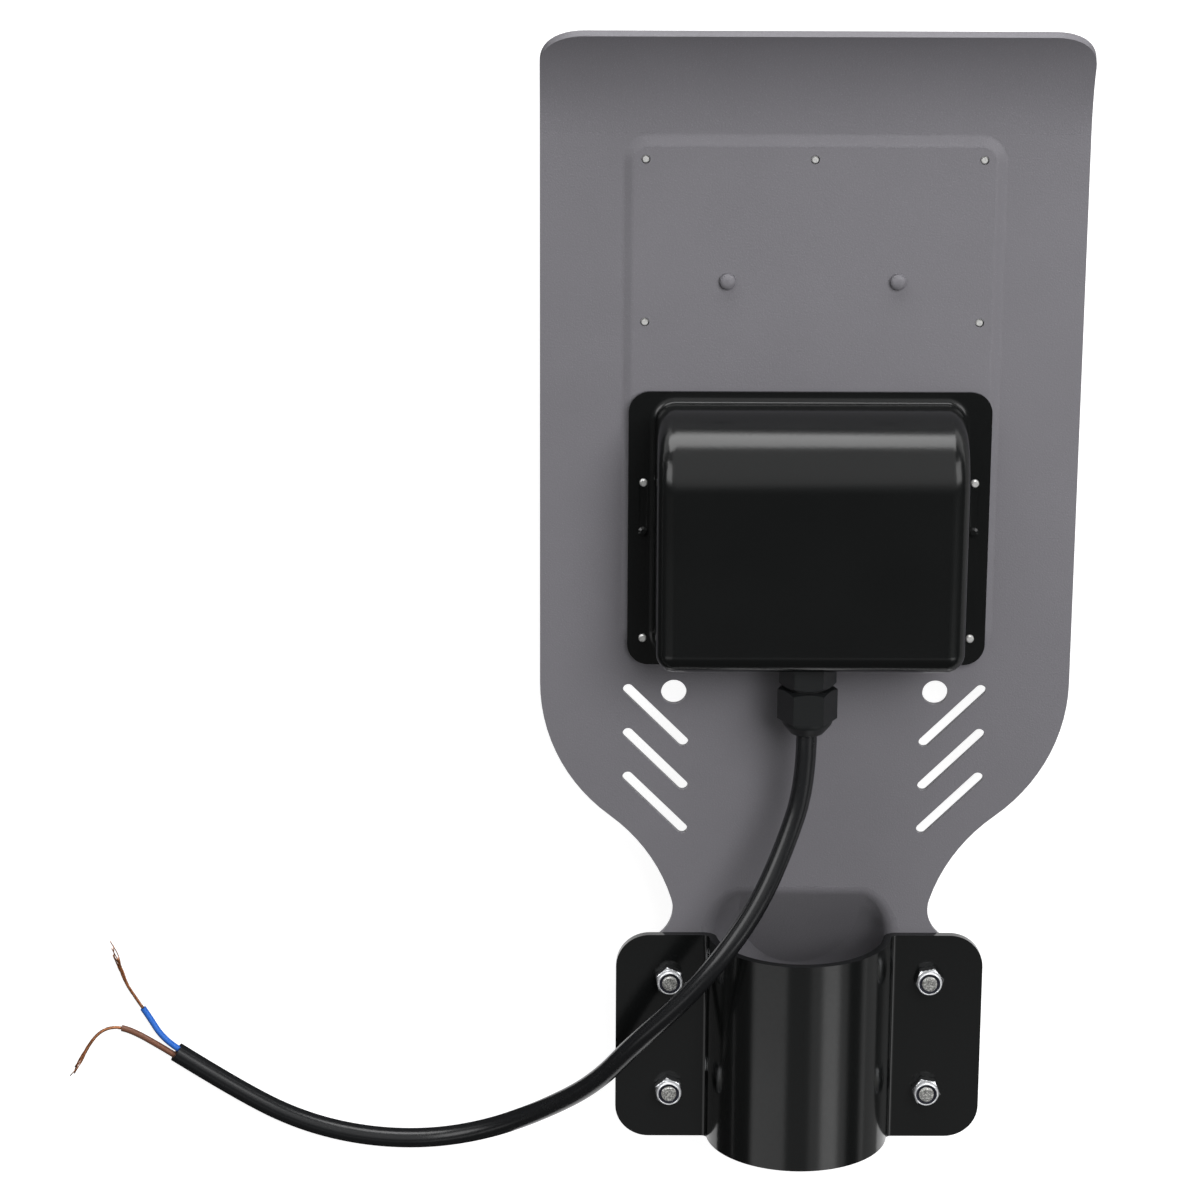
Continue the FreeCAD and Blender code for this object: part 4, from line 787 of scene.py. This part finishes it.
def fuller(x, y, z):
    """Where a point of the drawn front goes; the flange's own edge stays."""
    grow = NEW_FRONT[2] - OLD_FRONT[2]
    ahead = NEW_FRONT[0] - OLD_FRONT[0] + grow
    if y < OLD_FRONT[0] - NEAR or abs(x) > FLANGE_INNER or y > FOOT_AHEAD:
        return x, y, z
    if z > OLD_FRONT[1]:
        out = Vector((y - OLD_FRONT[0], z - OLD_FRONT[1]))
        out = out.normalized() * (out.length + grow)
        return x, NEW_FRONT[0] + out.x, NEW_FRONT[1] + out.y
    share = min(1.0, (y - OLD_FRONT[0]) / WALL_BLEND)
    if z > FLANGE_TOP:
        lower = (NEW_FRONT[1] - FLANGE_TOP) / (OLD_FRONT[1] - FLANGE_TOP)
        z = FLANGE_TOP + (z - FLANGE_TOP) * lower
    return x, y + ahead * share, z


bm = merged("driver_cover")
moved = 0
for vertex in bm.verts:
    old = vertex.co / MM
    new = Vector(fuller(*old))
    moved += (new - old).length > 0.01
    vertex.co = new * MM
cover = evened(finished("cover_draft", bm, 40), "drawn_cover")
dress(cover, black_coat)
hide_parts("driver_cover")
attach(cover, BODY)
print("cover points moved:", moved, "of", len(cover.data.vertices))

# %% [markdown]
# ## Bare copper
# Each stripped core ends in a bundle of fine copper wires that is twisted by hand and frays at its
# tip. Hair could draw that, but it isn't a mesh, so every wire is a thin tube that winds about the
# core's line and drifts away from it towards its end.

# %% Bare copper strands
STRANDS = 9
STRAND_WIDE = 0.42
STRAND_OUT = 0.42
FRAY_FROM = 0.45
TWIST = 0.34


def line_of(points):
    """The points of a NURBS line through a route, as Blender works it out."""
    bare = round_curve("route", points, 0)
    bare.data.bevel_depth = 0
    bare.data.use_fill_caps = False
    graph = bpy.context.evaluated_depsgraph_get()
    mesh = bpy.data.meshes.new_from_object(bare.evaluated_get(graph))
    line = [vertex.co.copy() for vertex in mesh.vertices]
    bpy.data.meshes.remove(mesh)
    bpy.data.objects.remove(bare)
    return line


def tube_rings(bm, line, radii, sides):
    """Skin a line with rings of the given radii, and close both ends."""
    way = (line[1] - line[0]).normalized()
    across = way.orthogonal().normalized()
    rings = []
    for i, (point, radius) in enumerate(zip(line, radii)):
        ahead = (line[min(i + 1, len(line) - 1)] - line[max(i - 1, 0)]).normalized()
        across = (across - ahead * across.dot(ahead)).normalized()
        up = ahead.cross(across)
        rings.append([bm.verts.new(point + (across * math.cos(turn) + up * math.sin(turn)) * radius)
                      for turn in [math.tau * side / sides for side in range(sides)]])
    for low, high in zip(rings, rings[1:]):
        for side in range(sides):
            after = (side + 1) % sides
            bm.faces.new((low[side], low[after], high[after], high[side]))
    bm.faces.new(rings[0][::-1])
    bm.faces.new(rings[-1])


def copper_end(name, route, spread, seed):
    """Fine strands twisted together, which part and fray towards their tips."""
    line = line_of(route)
    chance = random.Random(seed)
    bm = bmesh.new()
    for number in range(STRANDS):
        start = math.tau * number / STRANDS
        part = chance.uniform(0.25, 1.0)
        stop = len(line) - int(chance.uniform(0, 0.22) * len(line))
        reach = 0.0 if number == 0 else 1.0
        path = []
        across = (line[1] - line[0]).orthogonal().normalized()
        for i, point in enumerate(line[:stop]):
            ahead = (line[min(i + 1, len(line) - 1)] - line[max(i - 1, 0)]).normalized()
            across = (across - ahead * across.dot(ahead)).normalized()
            up = ahead.cross(across)
            share = i / (len(line) - 1)
            fray = max(0.0, share - FRAY_FROM) / (1 - FRAY_FROM)
            away = (STRAND_OUT + spread * part * fray ** 2) * reach
            turn = start + TWIST * i
            offset = (across * math.cos(turn) + up * math.sin(turn)) * away * MM
            place = point + offset
            place.z = max(place.z, FLOOR_Z + STRAND_WIDE / 2 * MM)
            path.append(place)
        tube_rings(bm, path, [STRAND_WIDE / 2 * MM] * len(path), 6)
    mesh = bpy.data.meshes.new(name)
    bm.to_mesh(mesh)
    bm.free()
    mesh.shade_smooth()
    return new_object(name, mesh)


def run_on(route, ahead):
    """A point straight past the end of a route."""
    end, before = Vector(route[-1]), Vector(route[-2])
    return tuple(end + (end - before).normalized() * ahead)


BLUE_ENDS = [BLUE_ROUTE[-1], run_on(BLUE_ROUTE, 6), (-265.5, 50.5, STRAND_LEVEL),
             (-269.5, 66, STRAND_LEVEL)]
BROWN_ENDS = [BROWN_ROUTE[-1], run_on(BROWN_ROUTE, 6), (-281, 21, STRAND_LEVEL),
              (-287.5, 7, STRAND_LEVEL)]
blue_strands = copper_end("blue_copper", BLUE_ENDS, 1.1, 3)
brown_strands = copper_end("brown_copper", BROWN_ENDS, 0.9, 8)
print("strands at each end:", STRANDS)

# %% [markdown]
# ## Cable on its body
# The curve stands for the tube of the imported model, whose node is hidden, and has its true length,
# which the photograph shows from end to end. The cores and strands at its bare end stand for theirs
# the same way, and each piece gets its finish and hangs on the body.

# %% Cord
for piece, finish, slot, node in (
        (cable, black_sheath, "black_sheath", "power_cable"),
        (blue_core, blue_sheath, "blue_sheath", "blue_core"),
        (brown_core, brown_sheath, "brown_sheath", "brown_core"),
        (blue_strands, copper, "copper", "blue_strands"),
        (brown_strands, copper, "copper", "brown_strands")):
    dress(piece, finish)
    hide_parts(node)
    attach(piece, BODY)

# %% [markdown]
# ## Floor, light and dark flags
# The floor is white to the camera and to mirrors, and takes a soft shadow. The paint is glossy, so
# what it mirrors matters as much as what lights it: a dark screen round the set, seen only in
# reflections, carries a few bright patches, and each patch draws one of the bands on the black
# paint. A patch is placed by two numbers of the direction it is seen in: its turn about the pole's
# axis, and how far along that axis it lies. A round pipe keeps the second one, so its bands can be
# set without touching those on the cover. Two dark sheets on the floor keep its white out of the
# side walls.

# %% Floor and world
FLOOR_HALF = 15.0
FLOOR_GLOW = 0.90
AMBIENT = 0.18


def stage_material(name):
    """A material with an empty tree."""
    material = bpy.data.materials.new(name)
    material.use_nodes = True
    material.node_tree.nodes.clear()
    return material, Nodes(material.node_tree)


def seen_directly(nodes):
    """1 for rays from the camera, from a mirror or through glass."""
    rays = [nodes.node("ShaderNodeLightPath", {}, {}, ray)
            for ray in ("Is Camera Ray", "Is Glossy Ray", "Is Transmission Ray")]
    most = rays[0]
    for ray in rays[1:]:
        most = most.math("MAXIMUM", most, ray)
    return most


floor_mesh = bpy.data.meshes.new("floor")
floor_mesh.from_pydata([(x, y, FLOOR_Z) for x, y in (
    (-FLOOR_HALF, -FLOOR_HALF), (FLOOR_HALF, -FLOOR_HALF),
    (FLOOR_HALF, FLOOR_HALF), (-FLOOR_HALF, FLOOR_HALF))], [], [(0, 1, 2, 3)])
floor = new_object("floor", floor_mesh)
material, paper = stage_material("floor_white")
matt = paper.node("ShaderNodeBsdfDiffuse", {}, {"Color": (0.5, 0.5, 0.5, 1)})
glow = paper.node("ShaderNodeEmission", {}, {"Color": (1, 1, 1, 1), "Strength": FLOOR_GLOW})
both = paper.node("ShaderNodeAddShader", {}, {0: matt, 1: glow})
pick = paper.node("ShaderNodeMixShader", {}, {0: seen_directly(paper), 1: matt, 2: both})
paper.node("ShaderNodeOutputMaterial", {}, {"Surface": pick})
floor_mesh.materials.append(material)

world = bpy.data.worlds.new("studio")
bpy.context.scene.world = world
world.use_nodes = True
world.node_tree.nodes.clear()
air = Nodes(world.node_tree)
dim = air.node("ShaderNodeBackground", {}, {"Color": (1, 1, 1, 1), "Strength": AMBIENT})
white = air.node("ShaderNodeBackground", {}, {"Color": (1, 1, 1, 1), "Strength": 1.0})
pick = air.node("ShaderNodeMixShader", {}, {0: seen_directly(air), 1: dim, 2: white})
air.node("ShaderNodeOutputWorld", {}, {"Surface": pick})
print("floor and world ready")

# %% Dark screen with bright patches
SCREEN_FAR = 7.0
SCREEN_STEP = 2.5
SCREEN_GREY = 0.05
HORIZON_FROM, HORIZON = -9, 9.0
HORIZON_HALF = 60
SHEET_GREY = (0.03, 0.35)  # left, right
SHEET_FROM, SHEET_TO = 0.11, 3.0
SHEET_BACK, SHEET_FRONT = -1.6, 0.45
PATCHES = [
    # turn about the pole's axis, 0 overhead and 90 at the right, reach along it, soft edge, level
    (-62, -17, -0.50, -0.345, 0.07, 1.00),  # left band of the pipe
    (28, 50, -0.50, -0.345, 0.07, 1.45),    # bright core of its right band
    (13, 62, -0.50, -0.345, 0.07, 0.65),    # soft sides of the right band
    (84, 104, -0.50, -0.345, 0.07, 0.60),   # far right of the pipe
    (-17, 13, -0.50, -0.345, 0.07, 0.22),   # top of the pipe, and the clamp's ears
    (-34, 34, 0.06, 0.93, 0.36, 0.62),      # soft glow on the cover's front
    (-62, -30, 0.12, 0.55, 0.10, 3.2),      # left corner of the cover, and the cable's ridge
    (30, 62, 0.12, 0.60, 0.10, 2.8),        # right corner of the cover
]


def soft_in(value, low, high, edge):
    """1 between two limits and 0 outside, with soft edges."""
    share = min(value - low, high - value) / edge + 0.5
    share = min(max(share, 0.0), 1.0)
    return share * share * (3 - 2 * share)


def sky_point(azimuth, height):
    """The direction at an azimuth, 0 being +Y and 90 +X, and a height, both in degrees."""
    across, lift = math.radians(azimuth), math.radians(height)
    flat = math.cos(lift)
    return Vector((math.sin(across) * flat, math.cos(across) * flat, math.sin(lift)))


def sky_level(way):
    """How bright the screen is in a direction."""
    roll = math.degrees(math.atan2(way.x, way.z))
    azimuth = math.degrees(math.atan2(way.x, way.y))
    height = math.degrees(math.asin(way.z))
    level = SCREEN_GREY + (soft_in(height, HORIZON_FROM, HORIZON, 8) *
                           soft_in(azimuth, -HORIZON_HALF, HORIZON_HALF, 20))
    for low, high, back, front, edge, strength in PATCHES:
        level += soft_in(roll, low, high, 7) * soft_in(way.y, back, front, edge) * strength
    return level


columns = int(360 / SCREEN_STEP)
rows = int(90 / SCREEN_STEP)
bm = bmesh.new()
grid = [[bm.verts.new(sky_point(column * SCREEN_STEP, row * SCREEN_STEP) * SCREEN_FAR)
         for column in range(columns)] for row in range(rows)]
top = bm.verts.new((0, 0, SCREEN_FAR))
for column in range(columns):
    after = (column + 1) % columns
    for low, high in zip(grid, grid[1:]):
        bm.faces.new((low[column], high[column], high[after], low[after]))
    bm.faces.new((grid[-1][column], top, grid[-1][after]))
for side in (-1, 1):
    bm.faces.new([bm.verts.new((side * x, y, FLOOR_Z + 0.5 * MM)) for x, y in (
        (SHEET_FROM, SHEET_BACK), (SHEET_TO, SHEET_BACK),
        (SHEET_TO, SHEET_FRONT), (SHEET_FROM, SHEET_FRONT))])
screen_mesh = bpy.data.meshes.new("dark_screen")
bm.to_mesh(screen_mesh)
bm.free()
levels = screen_mesh.attributes.new("level", "FLOAT", "POINT")
levels.data.foreach_set("value", [
    SHEET_GREY[vertex.co.x > 0] if vertex.co.z < 0 else sky_level(vertex.co.normalized())
    for vertex in screen_mesh.vertices])
screen = new_object("dark_screen", screen_mesh)
material, cloth = stage_material("screen_dark")
level = cloth.node("ShaderNodeAttribute", {"attribute_name": "level"}, {}, "Fac")
glow = cloth.node("ShaderNodeEmission", {}, {"Color": (1, 1, 1, 1), "Strength": level})
cloth.node("ShaderNodeOutputMaterial", {}, {"Surface": glow})
screen_mesh.materials.append(material)
screen.visible_camera = False
screen.visible_diffuse = False
screen.visible_shadow = False
screen.visible_transmission = False
print("screen faces:", len(screen_mesh.polygons), "brightest:", max(
    entry.value for entry in levels.data))

# %% [markdown]
# ## Lamps
# A long strip beyond the tip draws the bright band along the cover's front, so mirrors see it. The
# key lamp hangs above the tip and lights the plate, the ramp and the trough. Mirrors don't see it,
# because the photograph shows no such patch on the paint.

# %% Lamps
LAMPS = [
    # name, place, size, power, seen in mirrors
    ("strip_beyond_tip", (-0.25, 2.3, 0.44), (2.6, 0.9), 34.0, True),
    ("key_above_tip", (0.48, 0.80, 1.15), (0.8, 0.8), 16.4, False),
]
AIM = Vector((0, 0.2, 0))
for name, place, size, power, mirrored in LAMPS:
    light = bpy.data.lights.new(name, "AREA")
    light.shape = "RECTANGLE"
    light.size, light.size_y = size
    light.energy = power
    lamp = new_object(name, light)
    lamp.location = place
    lamp.rotation_mode = "QUATERNION"
    lamp.rotation_quaternion = (AIM - Vector(place)).to_track_quat("-Z", "Y")
    lamp.visible_camera = False
    lamp.visible_glossy = mirrored
print("lamps:", len(LAMPS))

scene = bpy.context.scene
scene.view_settings.view_transform = "Standard"
